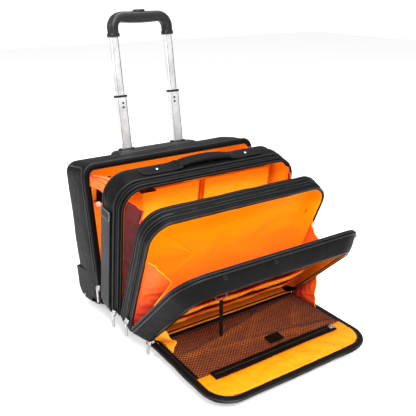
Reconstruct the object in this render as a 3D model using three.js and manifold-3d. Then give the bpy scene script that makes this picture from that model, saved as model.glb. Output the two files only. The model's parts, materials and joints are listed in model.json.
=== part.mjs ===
// Pilot rolling flight case, standing fanned open. A rear shell on two wheels carries a telescopic
// handle. A file section, a document section, an organiser and a front flap are hinged one in front
// of the other along their bottom edges, and each folds back flat against the one behind it.
// Millimetres, +Z up. X is across the case, which opens towards -Y. The origin is on the floor, on
// the centre plane, midway between the front and the back of the fanned-open case.

import * as THREE from 'three';
import { mergeVertices } from 'three/addons/utils/BufferGeometryUtils.js';
import Module from 'manifold-3d';

const wasm = await Module();
wasm.setup();

const GAP = 0.3; // clearance between pieces that touch
const WALL = 5; // padded fabric wall
const CORNER_STEPS = 4; // facets in half of a rounded corner
const ROUND_STEPS = 16; // facets round a small turned piece
const WHEEL_STEPS = 28;

// Sections. An outline is halfWidth, bottom, top, topRadius and bottomRadius in the section's own
// plane, whose z = 0 is the level of its hinge. depth is its thickness towards -Y.
const SHELL = { halfWidth: 218, bottom: -8, top: 298, topRadius: 35, bottomRadius: 10, depth: 113 };
const FILE = { halfWidth: 215, bottom: -4, top: 299, topRadius: 50, bottomRadius: 22, depth: 77 };
const DOCUMENT = { halfWidth: 215, bottom: -2, top: 295, topRadius: 50, bottomRadius: 22, depth: 43 };
const ORGANISER = { halfWidth: 218, bottom: 0, top: 285, topRadius: 55, bottomRadius: 30, depth: 38 };
const POCKET_RIM = { halfWidth: 194, bottom: 18, top: 262, topRadius: 48, bottomRadius: 12 };
const FLAP = { halfWidth: 192, bottom: 2, top: 241, topRadius: 58, bottomRadius: 8, depth: 8 };

// Lean of the shell, the angle each section stands open from the one behind, and where its hinge
// line lies in the frame of the one behind.
const SHELL_LEAN = -8.6;
const FILE_OPEN = 17;
const FILE_HINGE = { y: -115, z: 3 };
const DOCUMENT_OPEN = 14.1;
const DOCUMENT_HINGE = { y: -78.5, z: 4.5 };
const ORGANISER_OPEN = 23;
const ORGANISER_HINGE = { y: -44.5, z: 13 };
const FLAP_OPEN = 44.7;
const FLAP_HINGE = { y: -39.5, z: 20 };

const SHELL_DISH_DEPTH = 24; // moulded rear tray of the shell
const FILE_BAND_DEPTH = 52; // firm band of the file section; the zipped rim is in front of it
const PANEL_THICKNESS = 3.5;

// Trolley handle, in the shell's frame. Lengths run along the handle.
const HANDLE_Y = -14;
const TUBE_HALF_SPACING = 68.8;
const TUBE_WALL = 1.5;
const CHANNEL = { width: 29.2, depth: 18.2, bottom: 42, top: 300 };
const LOWER_TUBE = { width: 25.5, depth: 14.5, bottom: 252, top: 422 };
const UPPER_TUBE = { width: 20, depth: 10.5, bottom: 392, top: 566 };
const COLLAR_HEIGHT = 5;
const BEZEL_TOP = 305;
const GRIP = { halfWidth: 81, bottom: 556, top: 608, legWidth: 24, barHeight: 23, depth: 27 };
const BUTTON = { halfWidth: 13, depth: 15, travel: 3, sink: 8 };

// Wheels, in the shell's frame
const WHEEL_RADIUS = 30;
const WHEEL_WIDTH = 22;
const WHEEL_X = 188;
const HUB_RADIUS = 21;
const AXLE_RADIUS = 4;
const AXLE_Y = -29;
const AXLE_Z = -6.4;
const GUARD = { inner: 168, outer: 222, front: -70, top: 58, rear: 3, bottom: -12, radius: 36 };
const WHEEL_CLEARANCE = 3;

// Furniture of the sections. Heights and depths are in the frame of the section it sits on, and
// a depth counts forwards from the section's rear face.
const BRACKET = { halfWidth: 100, rear: -5, front: -23, bottom: 30 };
const INNER_POCKET = { inset: 14, depth: 50, bottom: 48, top: 220, topRadius: 18 };
const KNOB = { x: -172, z: 200, radius: 5.5 };
const DIVIDERS = [['left', -190, -4], ['right', 12, 190]];
const DIVIDER = { depth: 22, thickness: 2, bottom: 4, top: 256 };
const FOOT = { x: 150, halfWidth: 17, rear: 46, front: 76, taper: 3, heelTaper: 5, sole: -41.9 };
const ANCHOR = { x: 107, halfLength: 37, halfWidth: 19, thickness: 3, depth: 27 };
const RIVET = { x: 110, radius: 4.5, height: 2.4 };
const CARRY = { halfLength: 63, width: 34, depth: 29, thickness: 11, arch: 8, clearance: 2.5 };
const WEBBING = { rear: -5, front: -41, thickness: 2, bottom: 20, top: 228 };
const LOOP = { rear: -3, front: -43, bottom: 214, top: 236, wire: 4, thickness: 3 };
const GUSSET_HEIGHT = { shell: 250, file: 236, document: 200 };
const KEY_CLIP = { x: -96, y: -22.5, z: 190.4, ringRadius: 14, wire: 1.1, strapWidth: 8, drop: 92 };
const NET = { side: 12, bottom: 12, top: 152, thickness: 4 };
const NET_TAPE = { left: -150, right: 156, top: 174, thickness: 2.5 };
const ZIP_PULL = { length: 34, width: 7.6, thickness: 2.8 };
const PULL_STANDOFF = 5; // from a section's side to the middle of its pull
const SHELL_PULL = { standoff: 2.6, y: -109, z: 30 };
const FILE_PULL = { y: -62, z: 10 };
const DOCUMENT_PULL = { y: -34, z: 32 };
const FLAP_PULL = { y: 2, z: 3, length: 25 };
const NET_PULL = { x: 144, y: 5.8, z: 160, angle: 60 }; // angle is from the flap's length to its left

const radians = THREE.MathUtils.degToRad;

const finish = (color, roughness, metalness = 0) =>
  new THREE.MeshStandardMaterial({ color, roughness, metalness });

const MATERIAL = {
  blackFabric: finish(0x232325, 0.85),
  greyWebbing: finish(0x55565a, 0.8),
  orangeLining: finish(0xff9412, 0.55),
  goldenLining: finish(0xffa90a, 0.55),
  net: finish(0x4a2a18, 0.8),
  blackPlastic: finish(0x1a1a1c, 0.5),
  softGrip: finish(0x161617, 0.65),
  rubber: finish(0x1b1b1b, 0.9),
  aluminium: finish(0xd0d3d8, 0.3, 1),
  steel: finish(0x9a9c9f, 0.3, 1),
  chrome: finish(0xe6e7ea, 0.1, 1),
  knob: finish(0xf2f2ee, 0.4),
};

function piece(name, geometry, material) {
  const mesh = new THREE.Mesh(geometry, material);
  mesh.name = name;
  return mesh;
}

// Rounded rectangle in the section's plane, drawn in from its edge by inset.
function outline(section, inset = 0) {
  const { halfWidth, bottom, top, topRadius, bottomRadius } = section;
  const x = halfWidth - inset;
  const low = bottom + inset;
  const high = top - inset;
  const lowRadius = Math.max(bottomRadius - inset, 2);
  const highRadius = Math.max(topRadius - inset, 2);
  const shape = new THREE.Shape();
  shape.absarc(x - lowRadius, low + lowRadius, lowRadius, -Math.PI / 2, 0);
  shape.absarc(x - highRadius, high - highRadius, highRadius, 0, Math.PI / 2);
  shape.absarc(-x + highRadius, high - highRadius, highRadius, Math.PI / 2, Math.PI);
  shape.absarc(-x + lowRadius, low + lowRadius, lowRadius, Math.PI, Math.PI * 1.5);
  return shape;
}

function outlinePoints(shape) {
  const points = shape.getPoints(CORNER_STEPS);
  if (points[0].distanceTo(points[points.length - 1]) < 1e-6) {
    points.pop();
  }
  return points;
}

// Surface through outlines that share their number of points. Each row is a shape and its depth.
// A closed loft joins the last row to the first; an open one gets flat ends, so it stays convex.
function loft(rows, closed) {
  const rings = rows.map(({ shape, depth }) =>
    outlinePoints(shape).map((point) => [point.x, -depth, point.y]));
  const count = rings[0].length;
  const index = [];
  const spans = closed ? rings.length : rings.length - 1;
  for (let row = 0; row < spans; row += 1) {
    const near = row * count;
    const far = ((row + 1) % rings.length) * count;
    for (let i = 0; i < count; i += 1) {
      const next = (i + 1) % count;
      index.push(near + i, near + next, far + next);
      index.push(near + i, far + next, far + i);
    }
  }
  if (!closed) {
    const last = (rings.length - 1) * count;
    for (let i = 1; i < count - 1; i += 1) {
      index.push(0, i + 1, i);
      index.push(last, last + i, last + i + 1);
    }
  }
  const geometry = new THREE.BufferGeometry();
  geometry.setAttribute('position', new THREE.Float32BufferAttribute(rings.flat(2), 3));
  geometry.setIndex(index);
  geometry.computeVertexNormals();
  return geometry;
}

// Hollow band round a section between two depths, its outer edges eased.
function band(section, from, to, inset, wall) {
  const ease = 2;
  const rows = [
    { shape: outline(section, inset + ease), depth: from },
    { shape: outline(section, inset), depth: from + ease },
    { shape: outline(section, inset), depth: to - ease },
    { shape: outline(section, inset + ease), depth: to },
    { shape: outline(section, inset + wall), depth: to },
    { shape: outline(section, inset + wall), depth: from },
  ];
  return loft(rows, true);
}

function plate(shape, from, thickness) {
  const settings = { depth: thickness, bevelEnabled: false, curveSegments: CORNER_STEPS };
  const geometry = new THREE.ExtrudeGeometry(shape, settings);
  geometry.rotateX(Math.PI / 2);
  geometry.translate(0, -from, 0);
  return geometry;
}

function panel(section, inset, from, thickness) {
  return plate(outline(section, inset), from, thickness);
}

// A profile drawn in y and z, run along X.
function acrossProfile(shape, fromX, toX) {
  const settings = { depth: toX - fromX, bevelEnabled: false, curveSegments: CORNER_STEPS * 2 };
  const geometry = new THREE.ExtrudeGeometry(shape, settings);
  const yAxis = new THREE.Vector3(0, 1, 0);
  const zAxis = new THREE.Vector3(0, 0, 1);
  const xAxis = new THREE.Vector3(1, 0, 0);
  geometry.applyMatrix4(new THREE.Matrix4().makeBasis(yAxis, zAxis, xAxis));
  geometry.translate(fromX, 0, 0);
  return geometry;
}

function box(x0, x1, y0, y1, z0, z1) {
  const geometry = new THREE.BoxGeometry(x1 - x0, y1 - y0, z1 - z0);
  geometry.translate((x0 + x1) / 2, (y0 + y1) / 2, (z0 + z1) / 2);
  return geometry;
}

function roundedRectangle(width, depth, radius) {
  const x = width / 2 - radius;
  const y = depth / 2 - radius;
  const shape = new THREE.Shape();
  shape.absarc(x, -y, radius, -Math.PI / 2, 0);
  shape.absarc(x, y, radius, 0, Math.PI / 2);
  shape.absarc(-x, y, radius, Math.PI / 2, Math.PI);
  shape.absarc(-x, -y, radius, Math.PI, Math.PI * 1.5);
  return shape;
}

// A section drawn in x and y, run up Z.
function upright(shape, x, y, bottom, top) {
  const settings = { depth: top - bottom, bevelEnabled: false, curveSegments: 3 };
  const geometry = new THREE.ExtrudeGeometry(shape, settings);
  geometry.translate(x, y, bottom);
  return geometry;
}

function tube(size, wall, x) {
  const shape = roundedRectangle(size.width, size.depth, 3);
  shape.holes.push(roundedRectangle(size.width - 2 * wall, size.depth - 2 * wall, 2));
  return upright(shape, x, HANDLE_Y, size.bottom, size.top);
}

function tubeBore(size, clearance, x, bottom, top) {
  const shape = roundedRectangle(size.width + 2 * clearance, size.depth + 2 * clearance, 3);
  return upright(shape, x, HANDLE_Y, bottom, top);
}

// Turned piece whose profile is given as [radius, distance along the axis]; the axis is X.
function turned(profile, x, y, z, steps = ROUND_STEPS) {
  const points = profile.map(([radius, along]) => new THREE.Vector2(radius, along));
  const geometry = new THREE.LatheGeometry(points, steps);
  geometry.rotateZ(-Math.PI / 2);
  geometry.translate(x, y, z);
  return geometry;
}

function solid(geometry) {
  const bare = geometry.clone();
  bare.deleteAttribute('normal');
  bare.deleteAttribute('uv');
  const merged = mergeVertices(bare);
  const vertProperties = new Float32Array(merged.attributes.position.array);
  const triVerts = new Uint32Array(merged.index.array);
  return new wasm.Manifold(new wasm.Mesh({ numProp: 3, vertProperties, triVerts }));
}

function fromSolid(body) {
  const mesh = body.getMesh();
  const geometry = new THREE.BufferGeometry();
  geometry.setAttribute('position', new THREE.BufferAttribute(mesh.vertProperties, 3));
  geometry.setIndex(new THREE.BufferAttribute(mesh.triVerts, 1));
  geometry.computeVertexNormals();
  return geometry;
}

function cut(geometry, ...tools) {
  return fromSolid(tools.reduce((body, tool) => body.subtract(solid(tool)), solid(geometry)));
}

function guardProfile() {
  const { radius, rear, bottom, front, top } = GUARD;
  const shape = new THREE.Shape();
  shape.moveTo(rear, top);
  shape.lineTo(front, top);
  shape.lineTo(front, bottom);
  shape.absarc(rear - radius, bottom + radius, radius, -Math.PI / 2, 0);
  return shape;
}

// Square pocket that takes a corner out of the shell for its guard.
function guardPocket(side) {
  const margin = 10;
  const inner = side * (GUARD.inner - GAP);
  const outer = side * (GUARD.outer + margin);
  return box(Math.min(inner, outer), Math.max(inner, outer), GUARD.front - GAP,
    GUARD.rear + margin, GUARD.bottom - margin, GUARD.top + GAP);
}

function shellBack() {
  const wall = 4;
  const shoulder = 16;
  const rows = [
    { inset: 18, depth: 0 },
    { inset: 7, depth: wall },
    { inset: 0, depth: shoulder },
    { inset: 0, depth: SHELL_DISH_DEPTH },
    { inset: wall, depth: SHELL_DISH_DEPTH },
    { inset: wall, depth: shoulder },
    { inset: wall + 6, depth: wall + 3 },
    { inset: 19, depth: wall },
  ];
  const shaped = rows.map(({ inset, depth }) => ({ shape: outline(SHELL, inset), depth }));
  const dish = loft(shaped, false);
  const slotReach = 20;
  const slots = [-1, 1].map((side) => tubeBore(CHANNEL, GAP, side * TUBE_HALF_SPACING,
    SHELL.top - slotReach, SHELL.top + slotReach));
  return cut(dish, guardPocket(-1), guardPocket(1), ...slots);
}

function shellFrame() {
  const ring = band(SHELL, SHELL_DISH_DEPTH + GAP, SHELL.depth, 0, WALL);
  return cut(ring, guardPocket(-1), guardPocket(1));
}

function cornerGuard(side) {
  const reach = [side * GUARD.inner, side * GUARD.outer];
  const block = acrossProfile(guardProfile(), Math.min(...reach), Math.max(...reach));
  const wellRadius = WHEEL_RADIUS + WHEEL_CLEARANCE;
  const wellHalf = WHEEL_WIDTH / 2 + 2;
  const beyond = 30;
  const lip = 12;
  const well = turned([[0, -wellHalf], [wellRadius, -wellHalf], [wellRadius, wellHalf],
    [0, wellHalf]], side * WHEEL_X, AXLE_Y, AXLE_Z, WHEEL_STEPS);
  const centre = side * WHEEL_X;
  const mouth = box(centre - wellHalf, centre + wellHalf, AXLE_Y, GUARD.rear + beyond,
    GUARD.bottom - beyond, AXLE_Z + lip);
  const half = 2 * beyond;
  const boreRadius = AXLE_RADIUS + GAP;
  const bore = turned([[0, -half], [boreRadius, -half], [boreRadius, half], [0, half]],
    centre, AXLE_Y, AXLE_Z);
  return cut(block, well, mouth, bore);
}

function axle(side) {
  const half = (GUARD.outer - GUARD.inner) / 2 - 1;
  const centre = side * (GUARD.outer + GUARD.inner) / 2;
  return turned([[0, -half], [AXLE_RADIUS, -half], [AXLE_RADIUS, half], [0, half]],
    centre, AXLE_Y, AXLE_Z);
}

function wheelHub(side) {
  const bore = AXLE_RADIUS + GAP;
  const half = WHEEL_WIDTH / 2 - 1;
  const web = 3;
  const profile = [[bore, -half], [bore + 4, -half], [bore + 5, -web], [HUB_RADIUS - 4, -web],
    [HUB_RADIUS - 3, -half], [HUB_RADIUS, -half], [HUB_RADIUS, half], [HUB_RADIUS - 3, half],
    [HUB_RADIUS - 4, web], [bore + 5, web], [bore + 4, half], [bore, half], [bore, -half]];
  return turned(profile, side * WHEEL_X, AXLE_Y, AXLE_Z, WHEEL_STEPS);
}

function tyre(side) {
  const inner = HUB_RADIUS + GAP;
  const half = WHEEL_WIDTH / 2;
  const shoulder = 4;
  const profile = [[inner, -half + 1], [WHEEL_RADIUS - shoulder, -half],
    [WHEEL_RADIUS - 1, -half + shoulder], [WHEEL_RADIUS, -half + shoulder + 2],
    [WHEEL_RADIUS, half - shoulder - 2], [WHEEL_RADIUS - 1, half - shoulder],
    [WHEEL_RADIUS - shoulder, half], [inner, half - 1], [inner, -half + 1]];
  return turned(profile, side * WHEEL_X, AXLE_Y, AXLE_Z, WHEEL_STEPS);
}

function bezel() {
  const beyond = 31;
  const depth = 26;
  const forward = 3;
  const shape = roundedRectangle(2 * (TUBE_HALF_SPACING + beyond), depth, 9);
  const block = upright(shape, 0, HANDLE_Y - forward, CHANNEL.top + GAP, BEZEL_TOP);
  const holes = [-1, 1].map((side) =>
    tubeBore(LOWER_TUBE, GAP, side * TUBE_HALF_SPACING, CHANNEL.top - 5, BEZEL_TOP + 5));
  return cut(block, ...holes);
}

function collar(side) {
  const shape = roundedRectangle(LOWER_TUBE.width + 3, LOWER_TUBE.depth + 3, 4);
  const top = LOWER_TUBE.top + COLLAR_HEIGHT;
  const x = side * TUBE_HALF_SPACING;
  const block = upright(shape, x, HANDLE_Y, LOWER_TUBE.top + GAP, top);
  return cut(block, tubeBore(UPPER_TUBE, GAP, x, LOWER_TUBE.top - 5, top + 5));
}

function gripOutline() {
  const { halfWidth, bottom, top, legWidth, barHeight } = GRIP;
  const outer = 22;
  const inner = 14;
  const belly = 4;
  const inside = halfWidth - legWidth;
  const underside = top - barHeight;
  const shape = new THREE.Shape();
  shape.moveTo(-halfWidth, bottom);
  shape.lineTo(-inside, bottom);
  shape.lineTo(-inside, underside - inner);
  shape.absarc(-inside + inner, underside - inner, inner, Math.PI, Math.PI / 2, true);
  shape.quadraticCurveTo(0, underside - 2 * belly, inside - inner, underside);
  shape.absarc(inside - inner, underside - inner, inner, Math.PI / 2, 0, true);
  shape.lineTo(inside, bottom);
  shape.lineTo(halfWidth, bottom);
  shape.absarc(halfWidth - outer, top - outer, outer, 0, Math.PI / 2);
  shape.absarc(-halfWidth + outer, top - outer, outer, Math.PI / 2, Math.PI);
  return shape;
}

function grip() {
  const bevel = 6;
  const settings = { depth: GRIP.depth - 2 * bevel, bevelThickness: bevel, bevelSize: bevel,
    bevelOffset: -bevel, bevelSegments: 2, curveSegments: 5 };
  const body = new THREE.ExtrudeGeometry(gripOutline(), settings);
  body.rotateX(Math.PI / 2);
  body.translate(0, HANDLE_Y + GRIP.depth / 2 - bevel, 0);
  const sockets = [-1, 1].map((side) =>
    tubeBore(UPPER_TUBE, GAP, side * TUBE_HALF_SPACING, GRIP.bottom - 5, UPPER_TUBE.top + GAP));
  const pocket = roundedRectangle(2 * (BUTTON.halfWidth + GAP), BUTTON.depth + 2 * GAP, 6);
  const floor = GRIP.top - BUTTON.sink - BUTTON.travel - 2 * GAP;
  return cut(body, ...sockets, upright(pocket, 0, HANDLE_Y, floor, GRIP.top + 5));
}

function gripButton() {
  const shape = roundedRectangle(2 * BUTTON.halfWidth, BUTTON.depth, 6);
  return upright(shape, 0, HANDLE_Y, GRIP.top - BUTTON.sink, GRIP.top + BUTTON.travel);
}

// Folding side gusset in the wedge between a section and the one hinged in front of it.
function wedgeGusset(section, hinge, angle, side, height) {
  const thickness = 1.2;
  const clear = 1.2;
  const low = 30;
  const fromSide = 16;
  const x = side * (section.halfWidth - fromSide);
  const tilt = radians(angle);
  const front = { y: Math.sin(tilt), z: Math.cos(tilt) };
  const shape = new THREE.Shape();
  shape.moveTo(-section.depth - clear, low);
  shape.lineTo(hinge.y - front.y * low + clear, hinge.z + front.z * low);
  shape.lineTo(hinge.y - front.y * height + clear, hinge.z + front.z * height);
  shape.lineTo(-section.depth - clear, height);
  return acrossProfile(shape, x - thickness / 2, x + thickness / 2);
}

function pullTab(length = ZIP_PULL.length) {
  const { width, thickness } = ZIP_PULL;
  const end = width / 2;
  const shape = new THREE.Shape();
  shape.absarc(0, -end + 1, end, 0, Math.PI);
  shape.absarc(0, -length + end, end, Math.PI, Math.PI * 2);
  const eye = new THREE.Path();
  const eyeRadius = 1.4;
  eye.absarc(0, -end + 1, eyeRadius, 0, Math.PI * 2);
  shape.holes.push(eye);
  return acrossProfile(shape, -thickness / 2, thickness / 2);
}

// Zip pull on a section's side, hanging plumb from its slider. tilt is the section's own lean.
function zipPull(name, x, place, tilt) {
  const pull = piece(name, pullTab(place.length), MATERIAL.steel);
  pull.position.set(x, place.y, place.z);
  pull.rotation.x = -radians(tilt);
  return pull;
}

function section(parent, hinge, angle) {
  const group = new THREE.Group();
  group.position.set(0, hinge.y, hinge.z);
  group.rotation.x = radians(angle);
  parent.add(group);
  return group;
}

function pocketKnob() {
  const { x, z, radius } = KNOB;
  const stem = 3;
  const crown = 5;
  const profile = [[0, -stem], [radius, -stem], [radius + 0.5, 0], [radius - 1, stem],
    [radius / 2, crown - 0.6], [0, crown]];
  const knob = turned(profile, 0, 0, 0);
  knob.rotateZ(-Math.PI / 2);
  knob.translate(x, -INNER_POCKET.depth - PANEL_THICKNESS - stem - GAP, z);
  return knob;
}

function addShell(shell) {
  shell.add(piece('shell_back', shellBack(), MATERIAL.blackPlastic));
  shell.add(piece('shell_frame', shellFrame(), MATERIAL.blackFabric));
  for (const [side, label] of [[-1, 'left'], [1, 'right']]) {
    const x = side * TUBE_HALF_SPACING;
    shell.add(piece(`corner_guard_${label}`, cornerGuard(side), MATERIAL.blackPlastic));
    shell.add(piece(`axle_${label}`, axle(side), MATERIAL.steel));
    shell.add(piece(`wheel_hub_${label}`, wheelHub(side), MATERIAL.blackPlastic));
    shell.add(piece(`wheel_tyre_${label}`, tyre(side), MATERIAL.rubber));
    shell.add(piece(`handle_channel_${label}`, tube(CHANNEL, TUBE_WALL, x), MATERIAL.blackPlastic));
    shell.add(piece(`gusset_shell_${label}`,
      wedgeGusset(SHELL, FILE_HINGE, FILE_OPEN, side, GUSSET_HEIGHT.shell),
      MATERIAL.orangeLining));
  }
  const bracket = box(-BRACKET.halfWidth, BRACKET.halfWidth, BRACKET.front, BRACKET.rear,
    BRACKET.bottom, CHANNEL.bottom - GAP);
  shell.add(piece('handle_base_bracket', bracket, MATERIAL.blackPlastic));
  shell.add(piece('handle_bezel', bezel(), MATERIAL.blackPlastic));
  const pocketShape = { ...SHELL, ...INNER_POCKET };
  const pocket = panel(pocketShape, INNER_POCKET.inset, INNER_POCKET.depth, PANEL_THICKNESS);
  shell.add(piece('inner_pocket', pocket, MATERIAL.orangeLining));
  shell.add(piece('pocket_knob', pocketKnob(), MATERIAL.knob));
  const pullX = -SHELL.halfWidth - SHELL_PULL.standoff;
  shell.add(zipPull('zip_pull_shell', pullX, { y: SHELL_PULL.y, z: SHELL_PULL.z }, SHELL_LEAN));
}

function addHandle(shell) {
  for (const [side, label] of [[-1, 'left'], [1, 'right']]) {
    const x = side * TUBE_HALF_SPACING;
    shell.add(piece(`lower_tube_${label}`, tube(LOWER_TUBE, TUBE_WALL, x), MATERIAL.aluminium));
    shell.add(piece(`tube_collar_${label}`, collar(side), MATERIAL.blackPlastic));
    shell.add(piece(`upper_tube_${label}`, tube(UPPER_TUBE, TUBE_WALL, x), MATERIAL.aluminium));
  }
  shell.add(piece('handle_grip', grip(), MATERIAL.softGrip));
  shell.add(piece('grip_button', gripButton(), MATERIAL.blackPlastic));
}

function carryGrip() {
  const { halfLength, width, depth, thickness, arch, clearance } = CARRY;
  const low = FILE.top + clearance;
  const end = 7;
  const bevel = 3;
  const shape = new THREE.Shape();
  shape.moveTo(-halfLength, low);
  shape.quadraticCurveTo(0, low + arch, halfLength, low);
  shape.lineTo(halfLength, low + end);
  shape.quadraticCurveTo(0, low + thickness + arch + end, -halfLength, low + end);
  const settings = { depth: width - 2 * bevel, bevelThickness: bevel, bevelSize: bevel,
    bevelOffset: -bevel, bevelSegments: 2, curveSegments: 10 };
  const geometry = new THREE.ExtrudeGeometry(shape, settings);
  geometry.rotateX(Math.PI / 2);
  geometry.translate(0, width / 2 - bevel - depth, 0);
  return geometry;
}

function rectangle(shape, x0, x1, y0, y1) {
  shape.moveTo(x0, y0);
  shape.lineTo(x1, y0);
  shape.lineTo(x1, y1);
  shape.lineTo(x0, y1);
  return shape;
}

function webbingLoop(x) {
  const { rear, front, bottom, top, wire, thickness } = LOOP;
  const shape = rectangle(new THREE.Shape(), front, rear, bottom, top);
  shape.holes.push(rectangle(new THREE.Path(), front + wire, rear - wire, bottom + wire, top - wire));
  return acrossProfile(shape, x - thickness, x);
}

function handleAnchor(side) {
  const { x, halfLength, halfWidth, thickness, depth } = ANCHOR;
  const low = FILE.top + GAP;
  return box(side * x - halfLength, side * x + halfLength, -depth - halfWidth, -depth + halfWidth,
    low, low + thickness);
}

function handleRivet(side) {
  const { x, radius, height } = RIVET;
  const rim = height / 2;
  const profile = [[0, 0], [radius, 0], [radius - 0.5, rim], [radius / 2, height - 0.3],
    [0, height]];
  const rivet = turned(profile, 0, 0, 0);
  rivet.rotateY(-Math.PI / 2);
  rivet.translate(side * x, -ANCHOR.depth, FILE.top + ANCHOR.thickness + 2 * GAP);
  return rivet;
}

function foot(side) {
  const { x, halfWidth, rear, front, taper, heelTaper, sole } = FOOT;
  const top = FILE.bottom - GAP;
  const shape = new THREE.Shape();
  shape.moveTo(-front, top);
  shape.lineTo(-front + taper, sole);
  shape.lineTo(-rear - heelTaper, sole);
  shape.lineTo(-rear, top);
  return acrossProfile(shape, side * x - halfWidth, side * x + halfWidth);
}

function addFileSection(file, tilt) {
  const bandEnd = FILE_BAND_DEPTH;
  file.add(piece('file_frame', band(FILE, 0, bandEnd, 0, WALL), MATERIAL.blackFabric));
  file.add(piece('file_rim', band(FILE, bandEnd + GAP, FILE.depth, 3, WALL + 1),
    MATERIAL.blackFabric));
  file.add(piece('file_back', panel(FILE, WALL + GAP, 1, PANEL_THICKNESS), MATERIAL.orangeLining));
  const { depth, thickness, bottom, top } = DIVIDER;
  for (const [label, x0, x1] of DIVIDERS) {
    const divider = box(x0, x1, -depth - thickness, -depth, bottom, top);
    file.add(piece(`divider_${label}`, divider, MATERIAL.orangeLining));
  }
  for (const [side, label] of [[-1, 'left'], [1, 'right']]) {
    file.add(piece(`handle_anchor_${label}`, handleAnchor(side), MATERIAL.blackFabric));
    file.add(piece(`handle_rivet_${label}`, handleRivet(side), MATERIAL.chrome));
    file.add(piece(`foot_${label}`, foot(side), MATERIAL.rubber));
    const gusset = wedgeGusset(FILE, DOCUMENT_HINGE, DOCUMENT_OPEN, side, GUSSET_HEIGHT.file);
    file.add(piece(`gusset_file_${label}`, gusset, MATERIAL.orangeLining));
  }
  const side = -FILE.halfWidth - GAP;
  const outside = side - WEBBING.thickness;
  const webbing = box(outside, side, WEBBING.front, WEBBING.rear, WEBBING.bottom, WEBBING.top);
  file.add(piece('side_webbing', webbing, MATERIAL.greyWebbing));
  file.add(piece('side_loop', webbingLoop(outside - GAP), MATERIAL.steel));
  file.add(zipPull('zip_pull_file', side - PULL_STANDOFF, FILE_PULL, tilt));
  file.add(piece('carry_handle', carryGrip(), MATERIAL.blackFabric));
}

function addDocumentSection(group, tilt) {
  group.add(piece('document_frame', band(DOCUMENT, 0, DOCUMENT.depth, 0, WALL + 1),
    MATERIAL.blackFabric));
  group.add(piece('document_back', panel(DOCUMENT, WALL + 1 + GAP, 1, PANEL_THICKNESS),
    MATERIAL.orangeLining));
  for (const [side, label] of [[-1, 'left'], [1, 'right']]) {
    const height = GUSSET_HEIGHT.document;
    const gusset = wedgeGusset(DOCUMENT, ORGANISER_HINGE, ORGANISER_OPEN, side, height);
    group.add(piece(`gusset_document_${label}`, gusset, MATERIAL.orangeLining));
  }
  const pullX = -DOCUMENT.halfWidth - PULL_STANDOFF;
  group.add(zipPull('zip_pull_document', pullX, DOCUMENT_PULL, tilt));
}

// Band that narrows from the full section to the smaller rim the flap closes on.
function organiserFrame() {
  const wall = 6;
  const rows = [
    { shape: outline(ORGANISER, 2), depth: 0 },
    { shape: outline(ORGANISER, 0), depth: 3 },
    { shape: outline(POCKET_RIM, 0), depth: ORGANISER.depth - 2 },
    { shape: outline(POCKET_RIM, 2), depth: ORGANISER.depth },
    { shape: outline(POCKET_RIM, wall), depth: ORGANISER.depth },
    { shape: outline(ORGANISER, wall), depth: 5 },
    { shape: outline(ORGANISER, wall), depth: 0 },
  ];
  return loft(rows, true);
}

function addKeyClip(organiser, tilt) {
  const { x, y, z, ringRadius, wire, strapWidth, drop } = KEY_CLIP;
  const clip = new THREE.Group();
  clip.position.set(x, y, z);
  clip.rotation.x = -radians(tilt);
  const ring = new THREE.TorusGeometry(ringRadius, wire, 6, 24);
  ring.rotateX(Math.PI / 2);
  clip.add(piece('key_ring', ring, MATERIAL.steel));
  const halfThickness = 1.5;
  const strapTop = -ringRadius - 2 * wire + GAP;
  const strap = box(-strapWidth / 2, strapWidth / 2, -halfThickness, halfThickness, -drop, strapTop);
  clip.add(piece('key_strap', strap, MATERIAL.blackFabric));
  organiser.add(clip);
}

function addOrganiser(organiser, tilt) {
  organiser.add(piece('organiser_frame', organiserFrame(), MATERIAL.blackFabric));
  organiser.add(piece('organiser_panel', panel(ORGANISER, 7, 0.5, PANEL_THICKNESS),
    MATERIAL.orangeLining));
  addKeyClip(organiser, tilt);
}

function addFlap(flap, tilt) {
  const bindingWidth = 7;
  const binding = band(FLAP, 0, FLAP.depth, 0, bindingWidth);
  flap.add(piece('flap_binding', binding, MATERIAL.blackFabric));
  flap.add(piece('flap_board', panel(FLAP, bindingWidth + GAP, 0.5, FLAP.depth - 1),
    MATERIAL.goldenLining));
  const netShape = { ...FLAP, halfWidth: FLAP.halfWidth - NET.side, bottom: NET.bottom,
    top: NET.top, topRadius: 4, bottomRadius: 4 };
  const net = plate(outline(netShape), -NET.thickness, NET.thickness);
  flap.add(piece('mesh_pocket', net, MATERIAL.net));
  const tape = box(NET_TAPE.left, NET_TAPE.right, GAP, NET_TAPE.thickness, NET.top + GAP,
    NET_TAPE.top);
  flap.add(piece('mesh_zip_tape', tape, MATERIAL.blackFabric));
  const netPull = piece('zip_pull_mesh', pullTab(), MATERIAL.steel);
  netPull.rotation.set(0, radians(NET_PULL.angle), Math.PI / 2);
  netPull.position.set(NET_PULL.x, NET_PULL.y, NET_PULL.z);
  flap.add(netPull);
  flap.add(zipPull('zip_pull_flap', -FLAP.halfWidth - PULL_STANDOFF, FLAP_PULL, tilt));
}

const flightCase = new THREE.Group();
const standing = new THREE.Group();
const shellGroup = section(standing, { y: 0, z: 0 }, SHELL_LEAN);
addShell(shellGroup);
addHandle(shellGroup);

const fileTilt = SHELL_LEAN + FILE_OPEN;
const fileGroup = section(shellGroup, FILE_HINGE, FILE_OPEN);
addFileSection(fileGroup, fileTilt);

const documentTilt = fileTilt + DOCUMENT_OPEN;
const documentGroup = section(fileGroup, DOCUMENT_HINGE, DOCUMENT_OPEN);
addDocumentSection(documentGroup, documentTilt);

const organiserTilt = documentTilt + ORGANISER_OPEN;
const organiserGroup = section(documentGroup, ORGANISER_HINGE, ORGANISER_OPEN);
addOrganiser(organiserGroup, organiserTilt);

const flapGroup = section(organiserGroup, FLAP_HINGE, FLAP_OPEN);
addFlap(flapGroup, organiserTilt + FLAP_OPEN);

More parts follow.
